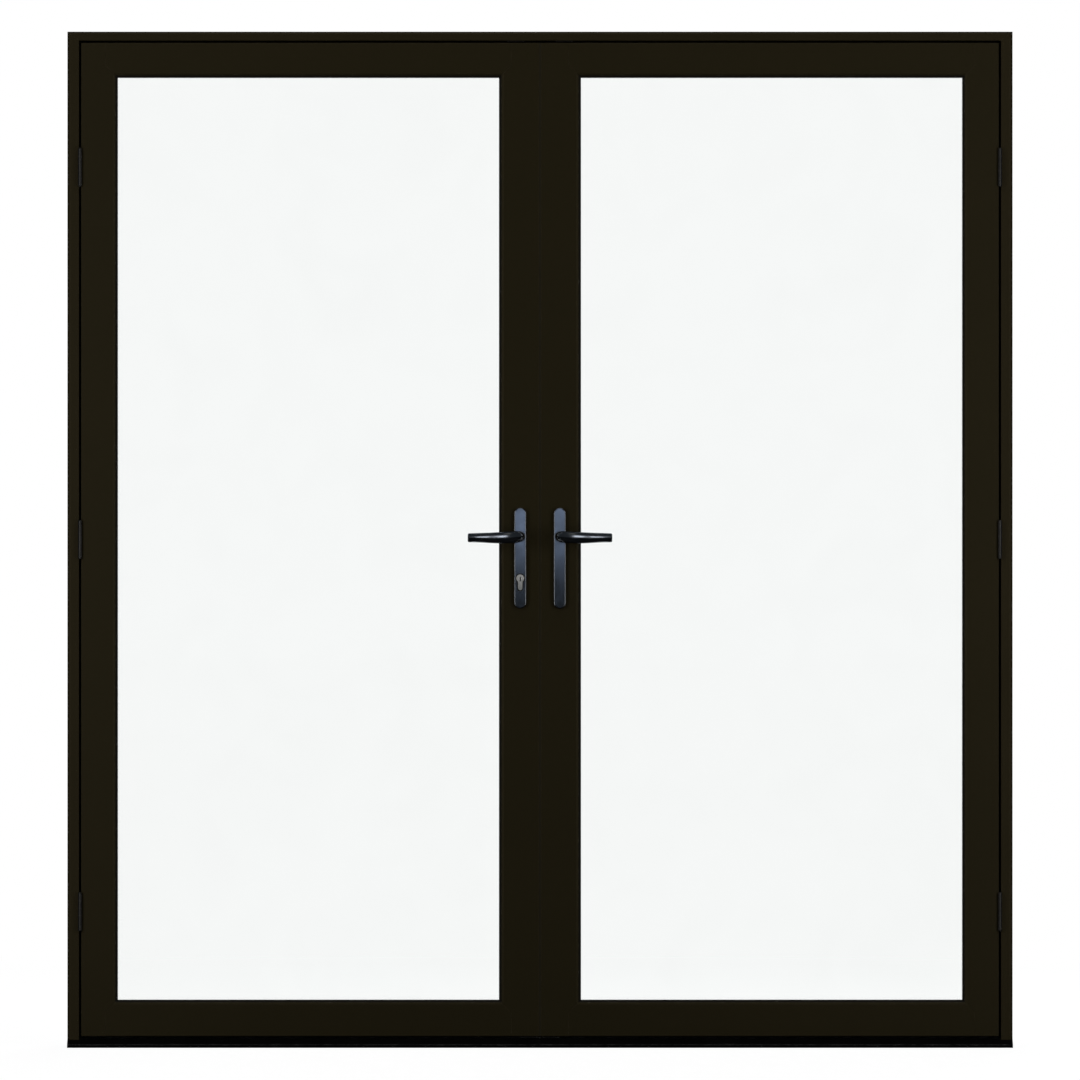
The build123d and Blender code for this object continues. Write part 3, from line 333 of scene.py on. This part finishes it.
# %% Build the recess group
painted_recess_shade, given, made = effect(
    "painted_recess_shade",
    {"Colour": grey(0.6), "Painted Shade": grey(0.02), "Roughness": 0.3, "Reach": 0.003, "Amount": 0.9},
    {"Colour": tuple, "Roughness": float})
free_view = add(painted_recess_shade, "AmbientOcclusion", {"Distance": given["Reach"]},
                samples=8).outputs["AO"]
hidden = spread(painted_recess_shade, free_view, (0.50, 0.92), (1.0, 0.0))
mask = calculate(painted_recess_shade, "MULTIPLY", hidden, given["Amount"])
dulled = calculate(painted_recess_shade, "MULTIPLY", mask, 0.4)
deliver(painted_recess_shade, made, Colour=blend(painted_recess_shade, mask, given["Colour"], given["Painted Shade"]),
        Roughness=calculate(painted_recess_shade, "ADD", given["Roughness"], dulled))
print("dark recesses:", len(painted_recess_shade.nodes), "nodes")

# %% [markdown]
# ## Putting effects into a material
#
# Every finish is one Principled shader fed by a chain of effects. Each effect takes the colour
# and roughness of the one before. The height of the first goes through a Bump node that stays in
# the material, on top of the rounded normal if one of the effects gives it. What is the same all
# over, such as how metallic the surface is, is set on the shader itself.


# %% Chain effects into a material
def blank(name):
    """A material with an empty shader tree, and the tree."""
    fresh = bpy.data.materials.new(name)
    fresh.use_nodes = True
    fresh.node_tree.nodes.clear()
    return fresh, fresh.node_tree


def material(slot, effects, bump, shader):
    """A finish named after its slot: effects in order, bump depth in metres, shader values."""
    finish, tree = blank(slot)
    looks, height, rounded = {}, None, None
    for group, values in effects:
        step = add(tree, "Group", values | looks, node_tree=group)
        looks = {label: step.outputs[label] for label in ("Colour", "Roughness")}
        height = height or step.outputs.get("Height")
        rounded = rounded or step.outputs.get("Normal")
    relief = add(tree, "Bump", {"Height": height, "Strength": 1.0, "Distance": bump})
    if rounded:
        tree.links.new(rounded, relief.inputs["Normal"])
    values = {"Base Color": looks["Colour"], "Roughness": looks["Roughness"],
              "Normal": relief.outputs[0]}
    surface = add(tree, "BsdfPrincipled", values | shader)
    add(tree, "OutputMaterial", {"Surface": surface.outputs[0]}).is_active_output = True
    return finish


print("effects to choose from:", sorted(group.name for group in bpy.data.node_groups))

# %% [markdown]
# ## Finishes of the frame and the leaves
#
# The extrusions are powder coated in a bronze so dark that it reads as black until light rakes
# it. It is satin, so reflections are broad and warm. The leaves are a shade darker than the
# frame, as two batches of a coat are.

# %% Coat the extrusions
finishes = {}
for slot, deep, drift in (
        ("frame_bronze", colour(0.0190, 0.0150, 0.0066), colour(0.0215, 0.0168, 0.0076)),
        ("leaf_bronze", colour(0.0178, 0.0144, 0.0062), colour(0.0196, 0.0156, 0.0068))):
    finishes[slot] = material(slot, [
        (powder_coat, {"Colour": deep, "Drift": drift, "Roughness": 0.46}),
        # Painted highlight: the lighter arrises paint thin lines of light along the edges of the
        # extrusions, on top of a little wear.
        (worn_and_highlit_edges, {"Bare And Highlight": colour(0.055, 0.045, 0.028), "Reach": 0.0020, "Amount": 0.5}),
        (settled_dust, {"Dust": colour(0.08, 0.072, 0.055), "Amount": 0.15}),
    ], bump=0.00002,
        shader={"Specular IOR Level": 0.10, "Specular Tint": colour(1.0, 0.86, 0.58)})
print("coats:", sorted(finishes))

# %% [markdown]
# The sill is anodised black, without the brown, because a coat would wear through underfoot. It
# carries draw lines along its length and the dust that shoes bring.

# %% Anodise the sill
finishes["sill_black"] = material("sill_black", [
    (drawn_lines, {"Colour": grey(0.0006), "Shade": grey(0.0011), "Roughness": 0.36,
                   "Scale X": 0.01}),
    # Painted highlight: the pale edge colour paints the line of light along the rounded nose of
    # the sill.
    (worn_and_highlit_edges, {"Bare And Highlight": grey(0.22), "Reach": 0.0022, "Amount": 0.8}),
    (settled_dust, {"Dust": colour(0.012, 0.011, 0.010), "Amount": 0.12}),
], bump=0.00001, shader={"Specular IOR Level": 0.05})
print("extrusion finishes:", sorted(finishes))

# %% [markdown]
# ## Finishes of the metal fittings
#
# The handles are lacquered black to a deep gloss, with a faint cold sheen that sets them off
# from the warm bronze. A high index of refraction gives that gloss without making them metal.
# The hinges are plain satin black, rubbed at the knuckles.

# %% Lacquer the handles and coat the hinges
finishes["handle_black"] = material("handle_black", [
    (soft_grain, {"Colour": colour(0.0014, 0.0016, 0.0020),
                  "Bloom": colour(0.0026, 0.0029, 0.0036), "Roughness": 0.20, "Grain": 400.0}),
    (worn_and_highlit_edges, {"Bare And Highlight": colour(0.012, 0.013, 0.014), "Reach": 0.0008, "Amount": 0.4}),
    # Painted shade: darker in recesses, such as where a lever meets its plate.
    (painted_recess_shade, {"Painted Shade": grey(0.0010), "Reach": 0.0040, "Amount": 1.0}),
], bump=0.000002, shader={"IOR": 2.2, "Specular Tint": colour(0.84, 0.90, 1.0)})
finishes["hinge_black"] = material("hinge_black", [
    (powder_coat, {"Colour": colour(0.0030, 0.0028, 0.0025),
                   "Drift": colour(0.0050, 0.0048, 0.0044), "Roughness": 0.40, "Grain": 900.0}),
    (worn_and_highlit_edges, {"Bare And Highlight": colour(0.12, 0.115, 0.11), "Reach": 0.0006, "Amount": 0.6}),
], bump=0.00001, shader={"Specular IOR Level": 0.35})
print("finishes so far:", len(finishes))

# %% [markdown]
# The screws and the gear in the lock stiles are zinc plated, the faceplates and the dead bolt
# are brushed stainless, and the corner keys and blocks are left as they were cast. The key
# cylinder is satin nickel, and its lines run from front to back, as it was drawn. All of them
# are metal all over, so Metallic is a plain value.

# %% Plate and brush the metals
for slot, tint, shade, rough, lines_run in (
        ("zinc_steel", colour(0.62, 0.64, 0.66), colour(0.50, 0.51, 0.48), 0.34, "Scale Z"),
        ("stainless", colour(0.60, 0.59, 0.57), colour(0.47, 0.46, 0.45), 0.28, "Scale Z"),
        ("nickel", colour(0.74, 0.72, 0.68), colour(0.62, 0.60, 0.57), 0.13, "Scale Y"),
        ("cast_key", colour(0.56, 0.56, 0.57), colour(0.42, 0.42, 0.43), 0.50, "Scale Z")):
    finishes[slot] = material(slot, [
        (drawn_lines, {"Colour": tint, "Shade": shade, "Roughness": rough, lines_run: 0.03}),
        (worn_and_highlit_edges, {"Bare And Highlight": colour(0.80, 0.80, 0.79), "Reach": 0.0005, "Amount": 0.5}),
        # Painted shade: darker in the keyway, in the gap round the cylinder and in other recesses.
        (painted_recess_shade, {"Painted Shade": colour(0.010, 0.010, 0.009), "Reach": 0.0060, "Amount": 0.97}),
    ], bump=0.000008, shader={"Metallic": 1.0})
print("with the metals:", len(finishes))

# %% [markdown]
# ## Finishes of rubber and plastic
#
# Seals and gaskets are extruded rubber: dead matt, with a grey bloom. The lips on the meeting
# edges are coloured with the frame, as far as rubber takes a colour. Caps and the spacer bar
# between the panes are moulded plastic.

# %% Finish rubber and plastic
for slot, base, bloom, rough, grain in (
        ("seal_rubber", colour(0.0090, 0.0088, 0.0085), colour(0.020, 0.020, 0.019), 0.72, 1500.0),
        ("gasket_rubber", colour(0.0055, 0.0042, 0.0018), colour(0.0080, 0.0062, 0.0030), 0.66,
         1500.0),
        ("edge_rubber", colour(0.0190, 0.0154, 0.0066), colour(0.0215, 0.0174, 0.0080), 0.62,
         1500.0),
        ("spacer_dark", grey(0.0120), grey(0.0220), 0.55, 800.0),
        ("black_nylon", grey(0.0100), grey(0.0200), 0.48, 1100.0)):
    finishes[slot] = material(slot, [
        (soft_grain, {"Colour": base, "Bloom": bloom, "Roughness": rough, "Grain": grain}),
        (settled_dust, {"Dust": colour(0.12, 0.11, 0.09), "Amount": 0.2}),
    ], bump=0.00001, shader={"Specular IOR Level": 0.12})
print("all finishes but glass:", len(finishes))

# %% [markdown]
# ## Glass
#
# Door glass is toughened, and the rollers that it is heated on leave it with swells of less than
# a tenth of a millimetre, a few to the metre, which bend reflections. Wiped glass keeps faint
# smears. The tint of real glass shows only at its edges, so the colour stays near white and the
# whole sheet stays clear.

# %% Make the glass
glass, tree = blank("glass")
place = coordinates(tree)
roll = noise(tree, place, scale=3.5, detail=1.0)
smear = noise(tree, place, scale=6.0, detail=5.0, Distortion=1.5)
relief = add(tree, "Bump", {"Height": roll, "Strength": 1.0, "Distance": 0.0002})
wiped, smeared = colour(0.978, 0.986, 0.982), colour(0.970, 0.978, 0.974)
clear = add(tree, "BsdfPrincipled", {
    "Base Color": blend(tree, spread(tree, smear, (0.4, 0.8), full), wiped, smeared),
    "Roughness": spread(tree, smear, (0.55, 0.85), (0.0, 0.015)), "Normal": relief.outputs[0],
    "Transmission Weight": 1.0, "IOR": 1.5})
add(tree, "OutputMaterial", {"Surface": clear.outputs[0]}).is_active_output = True
finishes["glass"] = glass
print("glass:", len(tree.nodes), "nodes")

# %% [markdown]
# ## Dress the nodes
#
# The record says which finish each solid has, so the solids are dressed from that list and none
# is forgotten.

# %% Dress every solid
subparts = frame["record"]["subparts"]
for part in subparts:
    solid = frame["nodes"][part["node"]]
    solid.data.materials.clear()
    solid.data.materials.append(finishes[part["material_slot"]])
used = {part["material_slot"] for part in subparts}
print(len(subparts), "nodes dressed in", len(used), "finishes, left over:",
      sorted(set(finishes) - used))

# %% [markdown]
# ## The soft lip between the leaves
#
# Two rigid strips can't touch, or neither leaf would open. On the real doors a soft lip on the
# second leaf shuts the hairline between them: a flap lies behind both strips, and a bead on it
# stands up into the hairline. The first leaf swings away from it, and takes no harm. A plain
# ribbon would leave a thread of daylight, so the section has to be this L. It starts as the
# flap, two cuts mark the bead's foot, and the bead is pulled out of the face between them.

# %% Lay out the soft lip
strip_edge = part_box("inactive_leaf_seals")[0].x
strip_back = 0.0072
stile_low, stile_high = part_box("inactive_lock_stile")
flap_edge, flap_near, flap_far = -0.0006, strip_back + 0.00005, strip_back + 0.00095
flap_low = Vector((flap_edge, flap_near, stile_low.z))
flap_high = Vector((stile_low.x, flap_far, stile_high.z))
bead_left, bead_right, bead_front = -0.0001, strip_edge, 0.0011
print("flap:", [round(v * 1000, 2) for v in flap_high - flap_low], "mm, bead:",
      round((bead_right - bead_left) * 1000, 2), "mm wide")

# %% Add the flap
bpy.ops.object.select_all(action="DESELECT")
bpy.ops.mesh.primitive_cube_add(size=1.0, location=(flap_low + flap_high) / 2)
lip = bpy.context.object
lip.name = "meeting_lip"
lip.scale = flap_high - flap_low
bpy.ops.object.transform_apply(location=True, rotation=True, scale=True)
print("flap:", len(lip.data.polygons), "faces")

# %% [markdown]
# Faces and edges are picked in code, by where their corners are. Measured places are never quite
# equal to typed ones, so the test allows for a hundredth of a millimetre.

# %% Raise the bead
close = 0.00001


def choose(piece, kind, wanted):
    """In edit mode, selects only those faces or edges whose corners pass a test."""
    bpy.ops.object.mode_set(mode="EDIT")
    bpy.ops.mesh.select_mode(type=kind)
    bpy.ops.mesh.select_all(action="DESELECT")
    bpy.ops.object.mode_set(mode="OBJECT")
    mesh = piece.data
    for item in mesh.polygons if kind == "FACE" else mesh.edges:
        item.select = wanted([mesh.vertices[v].co for v in item.vertices])
    bpy.ops.object.mode_set(mode="EDIT")


def on_bead_foot(corners):
    """Whether a face is the one between the two cuts, on the front of the flap."""
    return all(bead_left - close < corner.x < bead_right + close
               and corner.y < flap_low.y + close for corner in corners)


bpy.ops.object.mode_set(mode="EDIT")
for cut in (bead_left, bead_right):
    bpy.ops.mesh.select_all(action="SELECT")
    bpy.ops.mesh.bisect(plane_co=(cut, 0.0, 0.0), plane_no=(1.0, 0.0, 0.0))
choose(lip, "FACE", on_bead_foot)
bpy.ops.mesh.extrude_region_move(
    TRANSFORM_OT_translate={"value": (0.0, bead_front - flap_low.y, 0.0)})
bpy.ops.object.mode_set(mode="OBJECT")
print("flap and bead:", len(lip.data.polygons), "faces")

# %% [markdown]
# An extruded lip has no sharp arris, so the long edges that could be seen are rounded: those of
# the bead's crest and those of the flap's free side.

# %% Round the lip and hang it on its leaf
edge_radius, least_run = 0.0001, 0.1


def on_free_arris(ends):
    """Whether an edge runs up the crest of the bead or the free side of the flap."""
    return abs(ends[0].z - ends[1].z) > least_run and all(
        end.y < bead_front + close or end.x < flap_low.x + close for end in ends)


choose(lip, "EDGE", on_free_arris)
bpy.ops.mesh.bevel(offset=edge_radius, segments=3, affect="EDGES")
bpy.ops.object.mode_set(mode="OBJECT")
lip.data.materials.append(finishes["edge_rubber"])
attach(lip, "inactive_leaf")
print("lip:", len(lip.data.polygons), "faces,", [round(v * 1000, 2) for v in lip.dimensions], "mm")

# %% [markdown]
# ## A dark ring painting the shadow round the key cylinder
#
# A thin dark ring fills the play between the cylinder and its cut-out in the plate, laps a little
# over the cylinder's rim, and draws the dark line round it: painted shadow, a dark piece put where
# the gap holds shade. Its outline is the cylinder's own: a round head, a narrower stem and a round
# foot. So those three forms are joined with a margin, and a slightly smaller set is cut out of
# them, which leaves an even wall.

# %% Lay out the shadow ring
lock_low, lock_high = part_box("active_lock_cylinder")
plate_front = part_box("active_outer_plate")[0].y
lock_x = (lock_low.x + lock_high.x) / 2
head_radius, stem_radius = (lock_high.x - lock_low.x) / 2, 0.005
head_z, foot_z = lock_high.z - head_radius, lock_low.z + stem_radius
margin, lap, skin, overrun = 0.0016, 0.0005, 0.0002, 0.002
print("cylinder head", round(head_radius * 2000, 2), "mm across, stands",
      round((plate_front - lock_low.y) * 1000, 2), "mm proud of the plate")

# %% [markdown]
# A Boolean modifier joins closed forms or cuts one out of another, and applying it leaves plain
# mesh. The outline could also be drawn as one curve, but joined primitives keep to the measured
# radii with no arcs to work out.


# %% Helpers that join forms, and shape the cylinder's outline
def combine(piece, tool, operation):
    """Joins a form to a piece, or cuts it out, and throws the tool away."""
    joint = piece.modifiers.new("combine", "BOOLEAN")
    joint.object, joint.operation, joint.solver = tool, operation, "EXACT"
    bpy.ops.object.select_all(action="DESELECT")
    piece.select_set(True)
    bpy.context.view_layer.objects.active = piece
    bpy.ops.object.modifier_apply(modifier=joint.name)
    bpy.data.objects.remove(tool)


def disc(sides, radius, middle, depth, height):
    """A round form that faces forwards, on the cylinder's middle line."""
    bpy.ops.object.select_all(action="DESELECT")
    bpy.ops.mesh.primitive_cylinder_add(
        vertices=sides, radius=radius, depth=depth, location=(lock_x, middle, height),
        rotation=(quarter_turn, 0.0, 0.0))
    bpy.ops.object.transform_apply(location=True, rotation=True, scale=True)
    return bpy.context.object


def cylinder_form(growth, front, back):
    """The cylinder's outline as a solid, that much larger all round."""
    middle, depth = (front + back) / 2, back - front
    form = disc(64, head_radius + growth, middle, depth, head_z)
    foot = disc(48, stem_radius + growth, middle, depth, foot_z)
    bpy.ops.object.select_all(action="DESELECT")
    bpy.ops.mesh.primitive_cube_add(size=1.0, location=(lock_x, middle, (head_z + foot_z) / 2))
    stem = bpy.context.object
    stem.scale = (2 * (stem_radius + growth), depth, head_z - foot_z)
    bpy.ops.object.transform_apply(location=True, rotation=True, scale=True)
    combine(form, stem, "UNION")
    combine(form, foot, "UNION")
    return form


print("wall of the surround:", round((margin + lap) * 1000, 2), "mm")

# %% [markdown]
# The ring stands a hair in front of the cylinder and goes as far into the plate. The form that
# cuts the hole runs well past both ends, because a cut that ends level with a face leaves
# shreds. Where forms touch in a line they leave doubled points and slivers with no area, so
# these are merged and dissolved last, and the faces are turned outwards.

# %% Model the shadow ring
shadow_ring = cylinder_form(margin, lock_low.y - skin, plate_front + skin)
shadow_ring.name = "cylinder_shadow_ring"
combine(shadow_ring, cylinder_form(-lap, lock_low.y - overrun, plate_front + overrun),
        "DIFFERENCE")
bpy.ops.object.mode_set(mode="EDIT")
bpy.ops.mesh.select_all(action="SELECT")
bpy.ops.mesh.remove_doubles(threshold=0.00003)
bpy.ops.mesh.dissolve_degenerate(threshold=0.00001)
bpy.ops.mesh.normals_make_consistent(inside=False)
bpy.ops.object.mode_set(mode="OBJECT")
# Painted shadow: the ring's dark nylon finish paints the shade in the gap round the cylinder.
shadow_ring.data.materials.clear()
shadow_ring.data.materials.append(finishes["black_nylon"])
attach(shadow_ring, "active_leaf")
print("surround:", len(shadow_ring.data.polygons), "faces,",
      [round(v * 1000, 2) for v in shadow_ring.dimensions], "mm")

# %% [markdown]
# ## Studio
#
# The picture is a cut-out on white, so the floor is pale and runs into a white backdrop without
# a line. A white studio would turn a dark coat grey, so photographers of dark things light a
# white sweep for the lens only and keep black cloth around the object. The Light Path node does
# the same here: what the camera sees, straight or through the glass, is white, and what the
# doors see is dark.

# %% Lay the floor
floor_size, below_sill = 120.0, 0.0005
bpy.ops.object.select_all(action="DESELECT")
bpy.ops.mesh.primitive_plane_add(size=floor_size, location=(0.0, 0.0, -below_sill))
floor = bpy.context.object
floor.name = "studio_floor"
print("floor:", floor_size, "m across")


# %% Colour the floor
def seen_by_lens(tree):
    """One for what the camera sees, straight or through the glass, and nought for the rest."""
    path = add(tree, "LightPath").outputs
    return calculate(tree, "MAXIMUM", path["Is Camera Ray"], path["Is Transmission Ray"])


fade_start, fade_end = 1.6, 4.0
paper, tree = blank("studio_floor")
place = coordinates(tree)
reach = add(tree, "VectorMath", {0: place}, operation="LENGTH").outputs["Value"]
fibre = noise(tree, place, scale=8.0, detail=4.0)
matt = add(tree, "BsdfDiffuse", {"Color": blend(tree, fibre, grey(0.12), grey(0.16))})
glow = add(tree, "Emission", {"Color": grey(1.0), "Strength": 0.94})
near = add(tree, "AddShader", {0: matt.outputs[0], 1: glow.outputs[0]})
white = add(tree, "Emission", {"Color": grey(1.0), "Strength": 1.0})
pale = add(tree, "MixShader", {0: spread(tree, reach, (fade_start, fade_end), full),
                               1: near.outputs[0], 2: white.outputs[0]})
cloth = add(tree, "BsdfDiffuse", {"Color": grey(0.05)})
both = add(tree, "MixShader", {0: seen_by_lens(tree), 1: cloth.outputs[0], 2: pale.outputs[0]})
add(tree, "OutputMaterial", {"Surface": both.outputs[0]}).is_active_output = True
floor.data.materials.append(paper)
print("paper:", len(tree.nodes), "nodes, white from", fade_end, "m on")

# %% Hang the backdrop
backdrop = bpy.data.worlds.new("backdrop")
backdrop.use_nodes = True
bpy.context.scene.world = backdrop
tree = backdrop.node_tree
tree.nodes.clear()
dim = add(tree, "Background", {"Color": colour(0.80, 0.92, 1.0), "Strength": 0.11})
bright = add(tree, "Background", {"Color": grey(1.0), "Strength": 1.0})
both = add(tree, "MixShader", {0: seen_by_lens(tree), 1: dim.outputs[0], 2: bright.outputs[0]})
add(tree, "OutputWorld", {"Surface": both.outputs[0]})
print("backdrop:", len(tree.nodes), "nodes")

# %% [markdown]
# ## Lamps
#
# Two tall soft boxes stand off to the sides, so that the coat is lit evenly from sill to head
# and every upright edge gets a thin line, while the flat faces mirror none of it. A narrow box
# overhead does the same for the level edges, and a large one behind lights the inside.
#
# Gloss black has no colour to show, only what it mirrors. So the handles get lamps of their own,
# and Light Linking keeps each to its own solids, the boxes in front off the outer levers, and
# the hard-edged mirror images of all the boxes off the panes.


# %% Sort the fittings by their lamps
def gather(title, nodes, spared=False):
    """A collection that tells a lamp which solids to light, or which to spare."""
    group = bpy.data.collections.new(title)
    for node in nodes:
        group.objects.link(frame["nodes"][node])
    if spared:
        for member in group.collection_objects:
            member.light_linking.link_state = "EXCLUDE"
    return group


levers = ["active_outer_lever", "inactive_outer_lever"]
panes = ["active_glass_panes", "inactive_glass_panes"]
not_levers = gather("not_levers_or_panes", levers + panes, spared=True)
not_panes = gather("not_the_panes", panes, spared=True)
only_plates = gather("only_the_plates", ["active_outer_plate", "inactive_outer_plate"])
only_lock = gather("only_the_lock", ["active_lock_cylinder", "active_cylinder_plug"])
only_levers = gather("only_the_levers", levers)
left_lever, right_lever = gather("left_lever", levers[:1]), gather("right_lever", levers[1:])

# %% [markdown]
# A lamp's watts spread over its face, so a lamp that is made larger gets dimmer. Here each is
# given by its radiance, how bright its face looks, and the watts follow from its area and pi.


# %% Light the doors
rounded_pi = 3.14159


def hang(name, place, aim, width, height, radiance, tint, lights):
    """A flat soft lamp at a place, facing a point, for one collection of solids."""
    bpy.ops.object.light_add(type="AREA", location=place)
    lamp = bpy.context.object
    lamp.name = name
    lamp.data.shape = "RECTANGLE"
    lamp.data.size, lamp.data.size_y = width, height
    lamp.data.energy = radiance * rounded_pi * width * height
    lamp.data.color = tint
    lamp.rotation_euler = (Vector(aim) - Vector(place)).to_track_quat("-Z", "Y").to_euler()
    lamp.visible_camera = False
    lamp.visible_transmission = False
    lamp.light_linking.receiver_collection = lights
    print(f"{name}: {width:.2f} by {height:.2f} m, {lamp.data.energy:.2f} W")


white_light, daylight, neutral = (1.0, 1.0, 1.0), (1.0, 0.98, 0.95), (0.97, 0.98, 1.0)
cold, warm = (0.60, 0.74, 1.0), (1.0, 0.92, 0.76)
for side, x in (("left", -2.0), ("right", 2.0)):
    hang("side_box_" + side, place=(x, -2.2, 1.05), aim=(0.0, 0.0, 1.05), width=1.0, height=2.4,
         radiance=3.6, tint=daylight, lights=not_levers)
hang("overhead_box", place=(0.0, -0.7, 3.3), aim=(0.0, 0.0, 1.6), width=2.6, height=0.7,
     radiance=1.6, tint=daylight, lights=not_levers)
hang("rear_box", place=(0.6, 3.0, 2.6), aim=(0.0, 0.0, 1.0), width=2.4, height=1.8,
     radiance=4.5, tint=white_light, lights=not_panes)

# %% [markdown]
# The plates mirror a bluish strip in front of them, whose lower end makes them fade from bright
# to dark. The key cylinder has a white strip with a wide dim card behind it. Each lever has a
# small lamp in front for the soft spot halfway along it, and both share a warm one above for the
# tops of their elbows.

# %% Light the handles and the lock
hang("plate_strip", place=(0.0, -0.95, 1.240), aim=(0.0, 0.0, 1.240), width=0.24, height=0.50,
     radiance=1.55, tint=cold, lights=only_plates)
hang("lock_strip", place=(0.0, -0.95, 1.208), aim=(0.0, 0.0, 1.208), width=0.24, height=0.50,
     radiance=0.55, tint=neutral, lights=only_lock)
hang("lock_card", place=(0.0, -2.4, 1.3), aim=(0.0, 0.0, 0.95), width=3.2, height=2.2,
     radiance=0.09, tint=neutral, lights=only_lock)
hang("elbow_lamp", place=(0.0, -0.37, 1.38), aim=(0.0, -0.05, 1.04), width=0.12, height=0.20,
     radiance=0.45, tint=warm, lights=only_levers)
for side, x, lever in (("left", -0.085, left_lever), ("right", 0.085, right_lever)):
    hang("lever_lamp_" + side, place=(x, -0.37, 1.105), aim=(x, -0.05, 1.035), width=0.11,
         height=0.10, radiance=5.2, tint=neutral, lights=lever)
